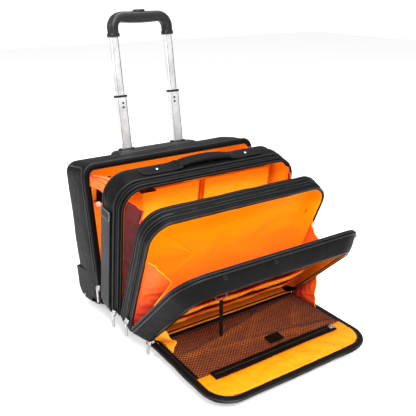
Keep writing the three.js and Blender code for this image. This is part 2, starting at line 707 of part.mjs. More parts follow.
standing.updateMatrixWorld(true);
const bounds = new THREE.Box3().setFromObject(standing, true);
standing.position.set(0, -(bounds.min.y + bounds.max.y) / 2, -bounds.min.z);
flightCase.add(standing);

export default flightCase;
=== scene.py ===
"""Looks for the pilot rolling flight case: fabric, lining, zips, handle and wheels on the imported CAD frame."""

import json
import math

import bmesh
import bpy
import numpy as np
from mathutils import Matrix, Vector, noise


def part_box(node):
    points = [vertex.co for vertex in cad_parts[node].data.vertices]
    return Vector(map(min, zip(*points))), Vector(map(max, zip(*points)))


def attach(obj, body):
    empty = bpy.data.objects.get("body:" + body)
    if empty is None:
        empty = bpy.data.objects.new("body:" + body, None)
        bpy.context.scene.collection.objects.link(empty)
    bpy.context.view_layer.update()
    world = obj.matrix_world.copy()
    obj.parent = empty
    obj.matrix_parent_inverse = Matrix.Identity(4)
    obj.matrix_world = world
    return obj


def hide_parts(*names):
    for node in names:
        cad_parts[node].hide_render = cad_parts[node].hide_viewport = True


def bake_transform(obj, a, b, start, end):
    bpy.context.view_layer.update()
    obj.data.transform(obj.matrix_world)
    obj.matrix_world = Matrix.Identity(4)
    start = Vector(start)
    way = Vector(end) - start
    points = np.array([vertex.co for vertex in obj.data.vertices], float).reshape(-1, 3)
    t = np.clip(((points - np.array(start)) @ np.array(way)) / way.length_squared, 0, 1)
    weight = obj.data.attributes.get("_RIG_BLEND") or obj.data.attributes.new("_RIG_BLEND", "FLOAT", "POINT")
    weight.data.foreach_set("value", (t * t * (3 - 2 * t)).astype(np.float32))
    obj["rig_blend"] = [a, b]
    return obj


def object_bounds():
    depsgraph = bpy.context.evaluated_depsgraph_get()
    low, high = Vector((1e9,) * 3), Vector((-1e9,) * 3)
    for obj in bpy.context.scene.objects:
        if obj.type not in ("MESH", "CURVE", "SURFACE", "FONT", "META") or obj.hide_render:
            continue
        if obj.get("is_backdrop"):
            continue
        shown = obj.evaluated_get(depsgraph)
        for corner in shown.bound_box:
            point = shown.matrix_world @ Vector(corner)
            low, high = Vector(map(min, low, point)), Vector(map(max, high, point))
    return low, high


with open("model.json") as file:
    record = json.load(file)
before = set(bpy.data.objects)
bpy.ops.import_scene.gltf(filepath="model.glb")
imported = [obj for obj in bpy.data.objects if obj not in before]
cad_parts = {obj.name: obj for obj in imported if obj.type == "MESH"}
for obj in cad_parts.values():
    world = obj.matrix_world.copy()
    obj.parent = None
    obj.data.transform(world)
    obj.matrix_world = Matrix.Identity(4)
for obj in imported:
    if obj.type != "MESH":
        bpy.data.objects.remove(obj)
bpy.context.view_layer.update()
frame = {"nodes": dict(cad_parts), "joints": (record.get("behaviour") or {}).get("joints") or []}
JOINT = {j["name"]: j for j in frame["joints"]}
MM = 0.001
TAU = 2 * math.pi

# ---------------------------------------------------------------- section frames
# Local millimetres: x across, y negative forwards (-depth), z up the section from its hinge level.


class Section:
    def __init__(self, origin, angle):
        self.angle = angle
        self.matrix = (Matrix.Translation(origin) @ Matrix.Rotation(angle, 4, "X")
                       @ Matrix.Diagonal((MM, MM, MM, 1)))

    def at(self, x, y, z):
        return self.matrix @ Vector((x, y, z))


AXLE = (-29.0, -6.4)
lean = math.asin(JOINT["lower_handle_slide"]["axis"][1])
axle = Vector(JOINT["wheel_right_spin"]["pos_m"])
turn = Matrix.Rotation(lean, 3, "X")
shell_origin = axle - turn @ Vector((0, AXLE[0] * MM, AXLE[1] * MM))
shell_origin.x = 0
S = Section(shell_origin, lean)
tilt = lean
sections = []
for name in ("file_section_fold", "document_section_fold", "organiser_fold", "front_flap_fold"):
    tilt += math.radians(JOINT[name]["range_deg"][1])
    sections.append(Section(Vector(JOINT[name]["pos_m"]), tilt))
F, D, O, P = sections
WORLD = Section(Vector((0, 0, 0)), 0)

SHELL = (218, -8, 298, 25, 10)
FILE = (215, -4, 299, 50, 22)
DOCUMENT = (215, -2, 295, 50, 22)
ORGANISER = (218, 0, 285, 55, 30)
POCKET_RIM = (194, 18, 262, 48, 12)
FLAP = (192, 2, 241, 58, 8)
SHELL_DEPTH, FILE_BAND, FILE_DEPTH, DOCUMENT_DEPTH, ORGANISER_DEPTH = 113, 52, 77, 43, 38
NOTCH = (167.4, 58.6)  # the shell's corner cut away for a wheel guard: its inner x and its top z
GUARD_FRONT = 70.4

# ---------------------------------------------------------------- materials


class Nodes:
    """Small helper that wires shader nodes."""

    def __init__(self, name):
        self.material = bpy.data.materials.new(name)
        self.material.use_nodes = True
        self.tree = self.material.node_tree
        self.tree.nodes.clear()

    def add(self, kind, inputs=None, **settings):
        node = self.tree.nodes.new(kind)
        for key, value in settings.items():
            setattr(node, key, value)
        for key, value in (inputs or {}).items():
            if isinstance(value, bpy.types.NodeSocket):
                self.tree.links.new(value, node.inputs[key])
            else:
                node.inputs[key].default_value = value
        return node

    def math(self, operation, a, b=0.0, clamp=False):
        return self.add("ShaderNodeMath", {0: a, 1: b}, operation=operation, use_clamp=clamp).outputs[0]

    def mix(self, factor, a, b):
        node = self.add("ShaderNodeMix", {0: factor, 6: a, 7: b}, data_type="RGBA")
        return node.outputs[2]

    def ramp(self, value, low, high):
        return self.add("ShaderNodeMapRange", {0: value, 1: low, 2: high}).outputs[0]

    def noise(self, vector, scale, detail=3.0, rough=0.55):
        return self.add("ShaderNodeTexNoise",
                        {"Vector": vector, "Scale": scale, "Detail": detail, "Roughness": rough}).outputs[0]


def rgba(color):
    return (*color, 1.0)


def scaled(color, k):
    return rgba([min(1.0, c * k) for c in color])


def local_position(n):
    """Millimetres in the piece's own section, carried on the mesh as the attribute 'at'."""
    return n.add("ShaderNodeAttribute", attribute_name="at").outputs["Vector"]


def weave(n, at, pitch, turned=0.0):
    """Over-and-under threads along all three local axes, 0 to 1."""
    if turned:
        at = n.add("ShaderNodeVectorRotate", {"Vector": at, "Angle": turned}, rotation_type="Y_AXIS").outputs[0]
    split = n.add("ShaderNodeSeparateXYZ", {0: at})
    waves = []
    for k in range(3):
        phase = n.math("MULTIPLY", split.outputs[k], math.pi / pitch)
        waves.append(n.math("SINE", phase))
    xz = n.math("MULTIPLY", waves[0], waves[2])
    xy = n.math("MULTIPLY", waves[0], waves[1])
    yz = n.math("MULTIPLY", waves[1], waves[2])
    total = n.math("ADD", n.math("ADD", xz, xy), yz)
    return n.ramp(total, -1.2, 1.2)


def fabric(name, color, pitch=0.9, rough=0.8, sheen=0.03, sheen_tint=(1, 1, 1), weave_depth=0.18,
           wrinkle=0.5, wrinkle_size=26.0, variation=0.25, turned=0.0, dust=0.0, specular=0.2,
           shade_tint=None, reach=0.05, lift=0.0, shade_ramp=None):
    """Woven cloth. shade_tint is the colour of painted shade that it turns to in folds and hollows, reach how far it
    feels them.

    shade_ramp is (z, z, colour): painted shade, the local heights between which it turns to the given darker colour.
    """
    n = Nodes(name)
    at = local_position(n)
    threads = weave(n, at, pitch, turned)
    broad = n.noise(at, 1 / 60, 4.0, 0.6)
    fine = n.noise(at, 1 / 2.2, 2.0, 0.5)
    crease = n.noise(at, 1 / wrinkle_size, 2.5, 0.55)
    tone = n.ramp(broad, 0.3, 0.7)
    base = n.mix(tone, scaled(color, 1 - variation), scaled(color, 1 + variation))
    # Painted shade: the colour darkens to the given colour between two local heights.
    if shade_ramp:
        height = n.add("ShaderNodeSeparateXYZ", {0: at}).outputs[2]
        base = n.mix(n.ramp(height, shade_ramp[0], shade_ramp[1]), base, rgba(shade_ramp[2]))
    open_air = None
    # Painted shade: ambient occlusion turns the colour to the shade tint in folds and hollows.
    if shade_tint:
        hollow = n.add("ShaderNodeAmbientOcclusion", {"Distance": reach}, samples=6)
        open_air = n.math("POWER", n.ramp(hollow.outputs["AO"], 0.05, 0.72), 0.9)
        base = n.mix(open_air, rgba(shade_tint), base)
    base = n.mix(n.math("MULTIPLY", threads, 0.3), base, n.mix(0.5, base, rgba((0, 0, 0))))
    if dust:
        edge = n.add("ShaderNodeNewGeometry").outputs["Pointiness"]
        worn = n.math("MULTIPLY", n.ramp(edge, 0.51, 0.58), n.ramp(fine, 0.35, 0.75))
        base = n.mix(n.math("MULTIPLY", worn, dust), base, scaled(color, 3.0))
    roughness = n.ramp(fine, 0.0, 1.0)
    roughness = n.math("ADD", n.math("MULTIPLY", roughness, 0.16), rough - 0.08, clamp=True)
    bump = n.add("ShaderNodeBump", {"Strength": weave_depth, "Distance": 0.0006, "Height": threads})
    bump = n.add("ShaderNodeBump", {"Strength": wrinkle, "Distance": 0.004, "Height": crease,
                                    "Normal": bump.outputs[0]})
    inputs = {"Base Color": base, "Roughness": roughness, "Normal": bump.outputs[0],
              "Sheen Weight": sheen, "Sheen Roughness": 0.5, "Sheen Tint": rgba(sheen_tint),
              "Specular IOR Level": specular}
    # Painted light: the cloth glows in its own colour by lift, less in hollows.
    if lift:
        inputs["Emission Color"] = base
        inputs["Emission Strength"] = n.math("MULTIPLY", open_air, lift) if open_air else lift
    shader = n.add("ShaderNodeBsdfPrincipled", inputs).outputs[0]
    n.add("ShaderNodeOutputMaterial", {0: shader})
    return n.material


def moulded(name, color, rough=0.5, grain=0.8, depth=0.25, metallic=0.0, streak=None, specular=0.5, wear=0.0,
            coat=0.0, lift=0.0):
    """Plastic, rubber or metal: fine grain, uneven gloss, and optional brushing along an axis; lift paints light on as
    a glow in its own colour.
    """
    n = Nodes(name)
    at = local_position(n)
    stretched = at
    if streak:
        stretched = n.add("ShaderNodeVectorMath", {0: at, 1: streak}, operation="MULTIPLY").outputs[0]
    grit = n.noise(stretched, 1 / grain, 2.0, 0.6)
    smudge = n.noise(at, 1 / 28, 3.0, 0.6)
    base = n.mix(n.ramp(smudge, 0.3, 0.7), scaled(color, 0.85), scaled(color, 1.15))
    base = n.mix(n.math("MULTIPLY", grit, 0.25), base, scaled(color, 0.7))
    if wear:
        edge = n.add("ShaderNodeNewGeometry").outputs["Pointiness"]
        rubbed = n.math("MULTIPLY", n.ramp(edge, 0.52, 0.6), wear)
        base = n.mix(rubbed, base, scaled(color, 4.0))
    roughness = n.math("ADD", n.math("MULTIPLY", smudge, 0.16), rough - 0.08, clamp=True)
    roughness = n.math("ADD", roughness, n.math("MULTIPLY", grit, 0.08), clamp=True)
    bump = n.add("ShaderNodeBump", {"Strength": depth, "Distance": 0.0004, "Height": grit})
    # Painted light: emission in its own colour, as strong as lift.
    shader = n.add("ShaderNodeBsdfPrincipled", {
        "Base Color": base, "Roughness": roughness, "Metallic": metallic, "Normal": bump.outputs[0],
        "Specular IOR Level": specular, "Coat Weight": coat, "Coat Roughness": 0.2,
        "Emission Color": base, "Emission Strength": lift}).outputs[0]
    n.add("ShaderNodeOutputMaterial", {0: shader})
    return n.material


# Painted shade: the dark red that lining colours turn to in folds and hollows.
SHADE_RED = (0.30, 0.010, 0.006)
MAT = {
    "nylon": fabric("nylon", (0.0045, 0.0045, 0.005), pitch=0.9, rough=0.5, sheen=0.0, weave_depth=0.25,
                    wrinkle=0.6, wrinkle_size=34, dust=0.35, specular=0.065),
    "edging": fabric("edging", (0.006, 0.006, 0.0065), pitch=0.8, rough=0.34, sheen=0.0, weave_depth=0.3,
                     wrinkle=0.05, wrinkle_size=9, dust=0.5, specular=0.3),
    "band": fabric("band", (0.004, 0.004, 0.0045), pitch=1.1, rough=0.46, sheen=0.0, weave_depth=0.3,
                   wrinkle=0.2, wrinkle_size=22, dust=0.3, specular=0.07),
    "binding": fabric("binding", (0.002, 0.002, 0.0022), pitch=0.8, rough=0.42, sheen=0.0, weave_depth=0.4,
                      wrinkle=0.12, wrinkle_size=9, dust=0.4, specular=0.06),
    "webbing": fabric("webbing", (0.038, 0.038, 0.043), pitch=1.5, rough=0.7, sheen=0.1, weave_depth=0.8,
                      wrinkle=0.1, turned=math.radians(45), dust=0.3),
    # The lining colours below darken to a painted shade colour in folds and hollows, and most glow faintly with painted
    # light.
    "orange": fabric("orange", (1.0, 0.38, 0.01), pitch=0.55, rough=0.55, weave_depth=0.12, wrinkle=0.4,
                     wrinkle_size=30, variation=0.04, shade_tint=(0.72, 0.07, 0.008), reach=0.045, lift=0.24),
    # Painted shade: the document lining darkens to red towards the bottom.
    "wall": fabric("wall", (1.0, 0.34, 0.0), pitch=0.55, rough=0.55, weave_depth=0.12, wrinkle=0.3,
                   wrinkle_size=40, variation=0.03, shade_tint=(0.72, 0.06, 0.01), reach=0.03, lift=0.3,
                   shade_ramp=(200, 10, (1.0, 0.11, 0.01))),
    # Painted shade: a dark red copy of the orange lining for the file gussets, which sit in shadow.
    "shade": fabric("shade", (0.11, 0.010, 0.009), pitch=0.55, rough=0.6, weave_depth=0.12, wrinkle=0.5,
                    wrinkle_size=22, variation=0.1, shade_tint=(0.06, 0.002, 0.002), reach=0.09),
    # Painted shade: the gussets are a redder, darker copy of the lining, darker still towards the bottom and in
    # hollows.
    "gusset": fabric("gusset", (1.0, 0.15, 0.022), pitch=0.55, rough=0.55, weave_depth=0.12, wrinkle=0.5,
                     wrinkle_size=22, variation=0.06, shade_tint=SHADE_RED, reach=0.05, lift=0.12,
                     shade_ramp=(130, 25, (0.62, 0.02, 0.02))),
    "golden": fabric("golden", (1.0, 0.27, 0.0), pitch=0.55, rough=0.5, weave_depth=0.12, wrinkle=0.4,
                     wrinkle_size=34, variation=0.04, shade_tint=(0.9, 0.16, 0.0), reach=0.012, lift=0.1),
    "trim": fabric("trim", (0.85, 0.06, 0.012), pitch=0.8, rough=0.6, weave_depth=0.4, wrinkle=0.2, variation=0.1,
                   shade_tint=SHADE_RED, reach=0.04, lift=0.06),
    "amber": fabric("amber", (1.0, 0.40, 0.01), pitch=0.8, rough=0.55, weave_depth=0.4, wrinkle=0.2,
                    variation=0.08, shade_tint=(0.8, 0.12, 0.01), reach=0.03, lift=0.12),
    "net": fabric("net", (0.055, 0.018, 0.016), pitch=0.4, rough=0.6, weave_depth=0.2, wrinkle=0.1),
    "plastic": moulded("plastic", (0.006, 0.006, 0.0065), rough=0.42, grain=0.9, depth=0.35, wear=0.12,
                       specular=0.3),
    "guard": moulded("guard", (0.0045, 0.0045, 0.005), rough=0.5, grain=1.1, depth=0.4, specular=0.1),
    "grip": moulded("grip", (0.008, 0.008, 0.009), rough=0.38, grain=0.6, depth=0.22, wear=0.05, specular=0.35),
    "rubber": moulded("rubber", (0.013, 0.013, 0.013), rough=0.75, grain=1.2, depth=0.5, wear=0.2, specular=0.3),
    # Painted light: the aluminium glows a little so the tubes read near white.
    "aluminium": moulded("aluminium", (0.80, 0.80, 0.82), rough=0.34, grain=0.5, depth=0.06, metallic=1.0, lift=0.22,
                         streak=(1, 1, 0.02)),
    "dark_metal": moulded("dark_metal", (0.14, 0.14, 0.15), rough=0.4, grain=1.5, depth=0.12, metallic=1.0),
    "gunmetal": moulded("gunmetal", (0.50, 0.49, 0.49), rough=0.28, grain=1.5, depth=0.12, metallic=1.0),
    "chrome": moulded("chrome", (0.88, 0.88, 0.9), rough=0.12, grain=4.0, depth=0.03, metallic=1.0),
    # Painted light: the knob glows so it stays white in the shell's shade.
    "knob": moulded("knob", (0.82, 0.82, 0.80), rough=0.35, grain=2.0, depth=0.05, coat=0.3, lift=0.55),
    "thread": fabric("thread", (0.03, 0.03, 0.033), pitch=0.5, rough=0.7, weave_depth=0.3, wrinkle=0.0),
}

# ---------------------------------------------------------------- building pieces


def rumple(mesh, waves, mask=None):
    """Moves points along their normals by soft noise. waves is [(height, size, seed), ...] in mm."""
    mesh.update()
    offsets = []
    for v in mesh.vertices:
        p = v.co
        push = sum(h * noise.noise(Vector((p.x / s + seed, p.y / s, p.z / s))) for h, s, seed in waves)
        if mask:
            push *= mask(p)
        offsets.append(v.normal * push)
    for v, offset in zip(mesh.vertices, offsets):
        v.co += offset


def build(name, verts, faces, section, material, body=None, waves=None, mask=None, thick=0.0, bevel=0.0,
          smooth=True, replaces=(), subdivide=0, closed=True, cloth=None):
    mesh = bpy.data.meshes.new(name)
    mesh.from_pydata([tuple(v) for v in verts], [], [tuple(f) for f in faces])
    work = bmesh.new()
    work.from_mesh(mesh)
    bmesh.ops.remove_doubles(work, verts=work.verts, dist=0.001)
    if closed:
        bmesh.ops.recalc_face_normals(work, faces=work.faces)
    work.to_mesh(mesh)
    work.free()
    if waves:
        rumple(mesh, waves, mask)
    return place(name, mesh, section, material, body, thick, bevel, smooth, replaces, subdivide, cloth)


def settle(obj, held, pressure=0.0, grow=0.0, cap=5.0, frames=16, bending=0.5, tension=12.0, by_index=False):
    """Lets cloth swell and buckle. held(p) pins points (0 free, 1 fixed); cap limits each point's move in mm."""
    mesh = obj.data
    group = obj.vertex_groups.new(name="held")
    for index, value in enumerate(mesh.attributes["at"].data):
        weight = held(index if by_index else value.vector)
        if weight > 0:
            group.add([index], min(1.0, weight), "REPLACE")
    modifier = obj.modifiers.new("cloth", "CLOTH")
    cloth = modifier.settings
    cloth.quality = 4
    cloth.mass = 0.3
    cloth.tension_stiffness = cloth.compression_stiffness = tension
    cloth.shear_stiffness = tension / 2
    cloth.bending_stiffness = bending
    cloth.vertex_group_mass = "held"
    cloth.use_pressure = pressure != 0
    cloth.uniform_pressure_force = pressure
    cloth.shrink_min = -grow
    cloth.effector_weights.gravity = 0
    modifier.collision_settings.use_collision = False
    modifier.point_cache.frame_start, modifier.point_cache.frame_end = 1, frames
    count = len(mesh.vertices)
    start, end = np.zeros(count * 3), np.zeros(count * 3)
    mesh.vertices.foreach_get("co", start)
    for frame_number in range(1, frames + 1):
        bpy.context.scene.frame_set(frame_number)
    settled = obj.evaluated_get(bpy.context.evaluated_depsgraph_get()).data
    settled.vertices.foreach_get("co", end)
    obj.modifiers.remove(modifier)
    obj.vertex_groups.clear()
    bpy.context.scene.frame_set(1)
    move = (end - start).reshape(-1, 3)
    length = np.linalg.norm(move, axis=1)
    limit = cap * MM
    move *= (np.tanh(length / limit) * limit / np.maximum(length, 1e-9))[:, None]
    mesh.vertices.foreach_set("co", (start.reshape(-1, 3) + move).ravel())
    mesh.update()


def place(name, mesh, section, material, body, thick=0.0, bevel=0.0, smooth=True, replaces=(), subdivide=0,
          cloth=None):
    """Records local positions for the materials, then moves the mesh into the row frame."""
    attribute = mesh.attributes.get("at") or mesh.attributes.new("at", "FLOAT_VECTOR", "POINT")
    flat = np.zeros(len(mesh.vertices) * 3, np.float32)
    mesh.vertices.foreach_get("co", flat)
    attribute.data.foreach_set("vector", flat)
    mesh.transform(section.matrix)
    mesh.materials.clear()
    mesh.materials.append(MAT[material])
    mesh.polygons.foreach_set("use_smooth", [smooth] * len(mesh.polygons))
    obj = bpy.data.objects.new(name, mesh)
    bpy.context.scene.collection.objects.link(obj)
    if cloth:
        settle(obj, **cloth)
    if thick:
        solid = obj.modifiers.new("thickness", "SOLIDIFY")
        solid.thickness = thick * MM
        solid.offset = 0
    if bevel:
        rounding = obj.modifiers.new("edges", "BEVEL")
        rounding.width = bevel * MM
        rounding.segments = 2
        rounding.limit_method = "ANGLE"
        rounding.angle_limit = math.radians(35)
    if subdivide:
        finer = obj.modifiers.new("finer", "SUBSURF")
        finer.levels = finer.render_levels = subdivide
    if smooth:
        mesh.update()
    if replaces:
        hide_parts(*replaces)
    if body:
        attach(obj, body)
    return obj


def evenly(points, count):
    """count + 1 points spaced evenly along a polyline."""
    points = np.asarray(points, float)
    lengths = np.concatenate([[0], np.cumsum(np.linalg.norm(np.diff(points, axis=0), axis=1))])
    at = np.linspace(0, lengths[-1], count + 1)
    return [tuple(p) for p in np.column_stack([np.interp(at, lengths, points[:, k]) for k in range(points.shape[1])])]


def half_outline(dims, inset, notch):
    """Right half of an outline. notch is "cut" or "full" for the shell's two ends of its wheel corner."""
    half, bottom, top, top_radius, bottom_radius = dims
    x, low, high = half - inset, bottom + inset, top - inset
    r0, r1 = max(bottom_radius - inset, 3.0), max(top_radius - inset, 3.0)
    points = []
    if notch and inset < 45:
        gx, gz = NOTCH[0] - inset, NOTCH[1] + inset
        points += [(gx * i / 22, low) for i in range(22)]
        if notch == "cut":
            corner = [(gx, low), (gx, gz), (x, gz)]
        else:
            bend = [(x - r0 + r0 * math.cos(a), low + r0 + r0 * math.sin(a))
                    for a in (-math.pi / 2 + math.pi / 2 * i / 4 for i in range(5))]
            corner = [(gx, low), *bend, (x, gz)]
        points += evenly(corner, 8)[:-1]
        start = gz
    else:
        points += [((x - r0) * i / 22, low) for i in range(22)]
        for i in range(8):
            a = -math.pi / 2 + math.pi / 2 * i / 8
            points.append((x - r0 + r0 * math.cos(a), low + r0 + r0 * math.sin(a)))
        start = low + r0
    end = high - r1
    points += [(x, start + (end - start) * i / 34) for i in range(34)]
    for i in range(14):
        a = math.pi / 2 * i / 14
        points.append((x - r1 + r1 * math.cos(a), high - r1 + r1 * math.sin(a)))
    points += [((x - r1) * (1 - i / 22), high) for i in range(23)]
    return points


def outline(dims, inset=0.0, notch=None):
    """Points (x, z) once round the section, always the same number, from bottom centre to the right."""
    half = half_outline(dims, inset, notch)
    mirrored = [(-x, z) for x, z in half[1:-1]]
    return np.array(half + mirrored[::-1])


def between(a, b, t):
    return tuple(p + (q - p) * t for p, q in zip(a, b))


def ring(dims, inset, depth, notch=None):
    flat = outline(dims, inset, notch)
    return np.column_stack([flat[:, 0], np.full(len(flat), -float(depth)), flat[:, 1]])


def loft(rings, loop=False, caps=(False, False)):
    """Vertices and faces of a surface through rings of equal length. caps close its two ends."""
    count = len(rings[0])
    verts = np.concatenate(rings)
    faces = []
    rows = len(rings)
    for row in range(rows if loop else rows - 1):
        near, far = row * count, ((row + 1) % rows) * count
        for i in range(count):
            j = (i + 1) % count
            faces.append((near + i, near + j, far + j, far + i))
    if caps[0]:
        faces += cap_faces(0, count)
    if caps[1]:
        faces += cap_faces((rows - 1) * count, count)
    return verts, faces


def cap_faces(first, count):
    """Closes an outline ring: strips join its bottom run to its top run, and one face fills each end."""
    half, run_length = count // 2, 22
    faces = []
    for mirror in (False, True):
        def point(i):
            return first + ((count - i) % count if mirror else i)
        for i in range(run_length):
            strip = (point(i), point(i + 1), point(half - i - 1), point(half - i))
            faces.append(strip[::-1] if mirror else strip)
        end = tuple(point(i) for i in range(run_length, half - run_length + 1))
        faces.append(end[::-1] if mirror else end)
    return faces


def normals_of(path, closed):
    """Unit tangents of a 3-D path."""
    if closed:
        ahead, behind = np.roll(path, -1, 0), np.roll(path, 1, 0)
    else:
        ahead, behind = np.vstack([path[1:], path[-1:]]), np.vstack([path[:1], path[:-1]])
    t = ahead - behind
    return t / np.maximum(np.linalg.norm(t, axis=1), 1e-9)[:, None]


def sweep(path, across, up, profile, closed=False):
    """Runs a closed profile of (a, b) pairs along a path. profile may be one list or one per point."""
    path, across, up = np.asarray(path, float), np.asarray(across, float), np.asarray(up, float)
    rings = []
    for i, p in enumerate(path):
        shape = profile[i] if isinstance(profile[0][0], (tuple, list)) else profile
        rings.append([p + across[i] * a + up[i] * b for a, b in shape])
    count, rows = len(rings[0]), len(rings)
    verts = [v for r in rings for v in r]
    faces = []
    for row in range(rows if closed else rows - 1):
        near, far = row * count, ((row + 1) % rows) * count
        for i in range(count):
            j = (i + 1) % count
            faces.append((near + i, near + j, far + j, far + i))
    if not closed:
        faces.append(tuple(range(count))[::-1])
        faces.append(tuple((rows - 1) * count + i for i in range(count)))
    return verts, faces


def circle(radius, sides=8, flat=1.0):
    return [(radius * math.cos(TAU * i / sides), radius * flat * math.sin(TAU * i / sides))
            for i in range(sides)]


def rounded_box(width, height, radius, corner=3):
    """Closed (a, b) profile of a rounded rectangle about its centre."""
    points = []
    for cx, cy, start in ((1, 1, 0), (-1, 1, 90), (-1, -1, 180), (1, -1, 270)):
        for i in range(corner + 1):
            a = math.radians(start + 90 * i / corner)
            points.append((cx * (width / 2 - radius) + radius * math.cos(a),
                           cy * (height / 2 - radius) + radius * math.sin(a)))
    return points


def cord(path, radius, sides=8, closed=False):
    """A round cord along any path, framed by parallel transport."""
    path = np.asarray(path, float)
    tangents = normals_of(path, closed)
    first = np.cross(tangents[0], (0.0, 1.0, 0.0))
    if np.linalg.norm(first) < 0.2:
        first = np.cross(tangents[0], (1.0, 0.0, 0.0))
    across = [first / np.linalg.norm(first)]
    for t in tangents[1:]:
        a = across[-1] - t * (across[-1] @ t)
        across.append(a / np.linalg.norm(a))
    across = np.array(across)
    up = np.cross(tangents, across)
    profile = circle(radius, sides) if np.isscalar(radius) else [circle(r, sides) for r in radius]
    return sweep(path, across, up, profile, closed)


def resample(points, step, closed=False):
    points = np.asarray(points, float)
    if closed:
        points = np.vstack([points, points[:1]])
    lengths = np.concatenate([[0], np.cumsum(np.linalg.norm(np.diff(points, axis=0), axis=1))])
    count = max(2, int(round(lengths[-1] / step)))
    at = np.linspace(0, lengths[-1], count + 1)
    out = np.column_stack([np.interp(at, lengths, points[:, k]) for k in range(points.shape[1])])
    return out[:-1] if closed else out


def arch(dims, inset, start, step):
    """Path up one side from z = start, over the top and down the other, with outward directions."""
    flat = outline(dims, inset)
    half = len(flat) // 2
    right = [p for p in flat[:half + 1] if p[1] >= start and p[0] > 0]
    left = [(-x, z) for x, z in right]
    path = resample(np.array(right + left[::-1]), step)
    tangents = normals_of(path, False)
    outward = np.column_stack([tangents[:, 1], -tangents[:, 0]])
    return path, outward


def around(dims, inset, step):
    path = resample(outline(dims, inset), step, closed=True)
    tangents = normals_of(path, True)
    outward = np.column_stack([tangents[:, 1], -tangents[:, 0]])
    return path, outward


def run(name, dims, inset, depth, profile, section, material, body, start=None, step=5.0, waves=None):
    """A strip or cord that follows a section's outline at a depth: profile is (outward, forward) pairs."""
    closed = start is None
    path, outward = around(dims, inset, step) if closed else arch(dims, inset, start, step)
    flat = np.zeros(len(path))
    points = np.column_stack([path[:, 0], flat - depth, path[:, 1]])
    across = np.column_stack([outward[:, 0], flat, outward[:, 1]])
    forward = np.tile((0.0, -1.0, 0.0), (len(path), 1))
    if callable(profile):
        profile = [profile(i) for i in range(len(path))]
    verts, faces = sweep(points, across, forward, profile, closed)
    return build(name, verts, faces, section, material, body, waves=waves)


def piping(name, dims, inset, depth, radius, section, body, material="edging", start=None):
    return run(name, dims, inset, depth, circle(radius, 10), section, material, body, start, 4.0)


TOOTH = 2.1  # length of one zip tooth


def zip_coil(name, dims, inset, depth, section, body, start, radius=1.35):
    """Row of moulded zip teeth."""
    step = TOOTH / 3

    def tooth(i):
        swell = (0.62, 1.0, 1.0)[i % 3]
        return circle(radius * swell, 6)
    return run(name, dims, inset, depth, tooth, section, "plastic", body, start, step)


def zip_tape(name, dims, inset, depth, width, section, body, start, facing="out"):
    """Flat woven tape that carries a zip."""
    thin = 0.5
    if facing == "out":
        profile = [(-thin, -width / 2), (thin, -width / 2), (thin, width / 2), (-thin, width / 2)]
    else:
        profile = [(-width / 2, -thin), (width / 2, -thin), (width / 2, thin), (-width / 2, thin)]
    return run(name, dims, inset, depth, profile, section, "binding", body, start, 6.0)


def join(name, parts, section, material, body, **kw):
    verts, faces = [], []
    for v, f in parts:
        base = len(verts)
        verts += [tuple(p) for p in v]
        faces += [tuple(i + base for i in face) for face in f]
    return build(name, verts, faces, section, material, body, **kw)


def slab(width, height, thickness, radius, centre, normal_axis="y", corner=4, rows=1):
    """Rounded plate; width along x, height along z, thickness along y (or another normal axis)."""
    profile = rounded_box(width, height, radius, corner)
    rings = []
    for k in range(rows + 1):
        d = -thickness / 2 + thickness * k / rows
        rings.append([(a, d, b) for a, b in profile])
    verts = np.array([v for r in rings for v in r], float)
    if normal_axis == "z":
        verts = verts[:, [0, 2, 1]]
    if normal_axis == "x":
        verts = verts[:, [1, 0, 2]]
    verts = verts + np.array(centre, float)
    count = len(profile)
    faces = []
    for row in range(rows):
        for i in range(count):
            j = (i + 1) % count
            faces.append((row * count + i, row * count + j, (row + 1) * count + j, (row + 1) * count + i))
    faces.append(tuple(range(count))[::-1])
    faces.append(tuple(rows * count + i for i in range(count)))
    return verts, faces


def stitches(points, length, gap, radius, normals=None, lift=0.3):
    """Short threads laid end to end along a path."""
    points = resample(points, length + gap)
    parts = []
    for a, b in zip(points[:-1], points[1:]):
        direction = (b - a) / np.linalg.norm(b - a)
        end = a + direction * length
        parts.append(cord([a, (a + end) / 2, end], [radius * 0.6, radius, radius * 0.6], 5))
    return parts


# ---------------------------------------------------------------- rear shell
def shell_rows(rows):
    return [ring(SHELL, inset, depth, notch) for inset, depth, notch in rows]


SHELL_WAVES = [(1.8, 90, 3.1), (0.7, 34, 8.4)]
OUTER = [(145, -2.6), (110, -2.6), (80, -2.5), (52, -2.2), (34, -1.6), (22, -0.6), (13, 0.8), (7, 3), (3.2, 6.4),
         (1.0, 11), (0.0, 18), (-0.9, 28), (-1.6, 40), (-2.0, 52), (-2.1, 62), (-2.2, GUARD_FRONT)]
FRONT = [(-2.2, GUARD_FRONT), (-2.0, 80), (-1.4, 90), (-0.6, 100), (0.2, 107), (1.2, 111.5), (2.8, 113.2)]
INNER = [(4.6, 112.6), (5.0, 100), (5.2, 85), (5.2, 71.6)]
INNER_BACK = [(5.2, 71.6), (5.2, 50), (5.2, 30), (7.5, 16), (13, 8), (22, 4.6), (60, 4.2), (110, 4.2), (145, 4.2)]
skin_rows = ([(i, d, "cut") for i, d in OUTER] + [(i, d, "full") for i, d in FRONT]
             + [(i, d, "full") for i, d in INNER] + [(i, d, "cut") for i, d in INNER_BACK])


def shell_slack(p):
    """Fabric is held at the front binding and hangs a little looser on the walls."""
    return min(1.0, max(0.0, (SHELL_DEPTH + p.y) / 25))


verts, faces = loft(shell_rows(skin_rows), caps=(True, True))
build("shell_skin", verts, faces, S, "nylon", "rear_shell", waves=SHELL_WAVES,
      mask=shell_slack, replaces=("shell_back", "shell_frame"))

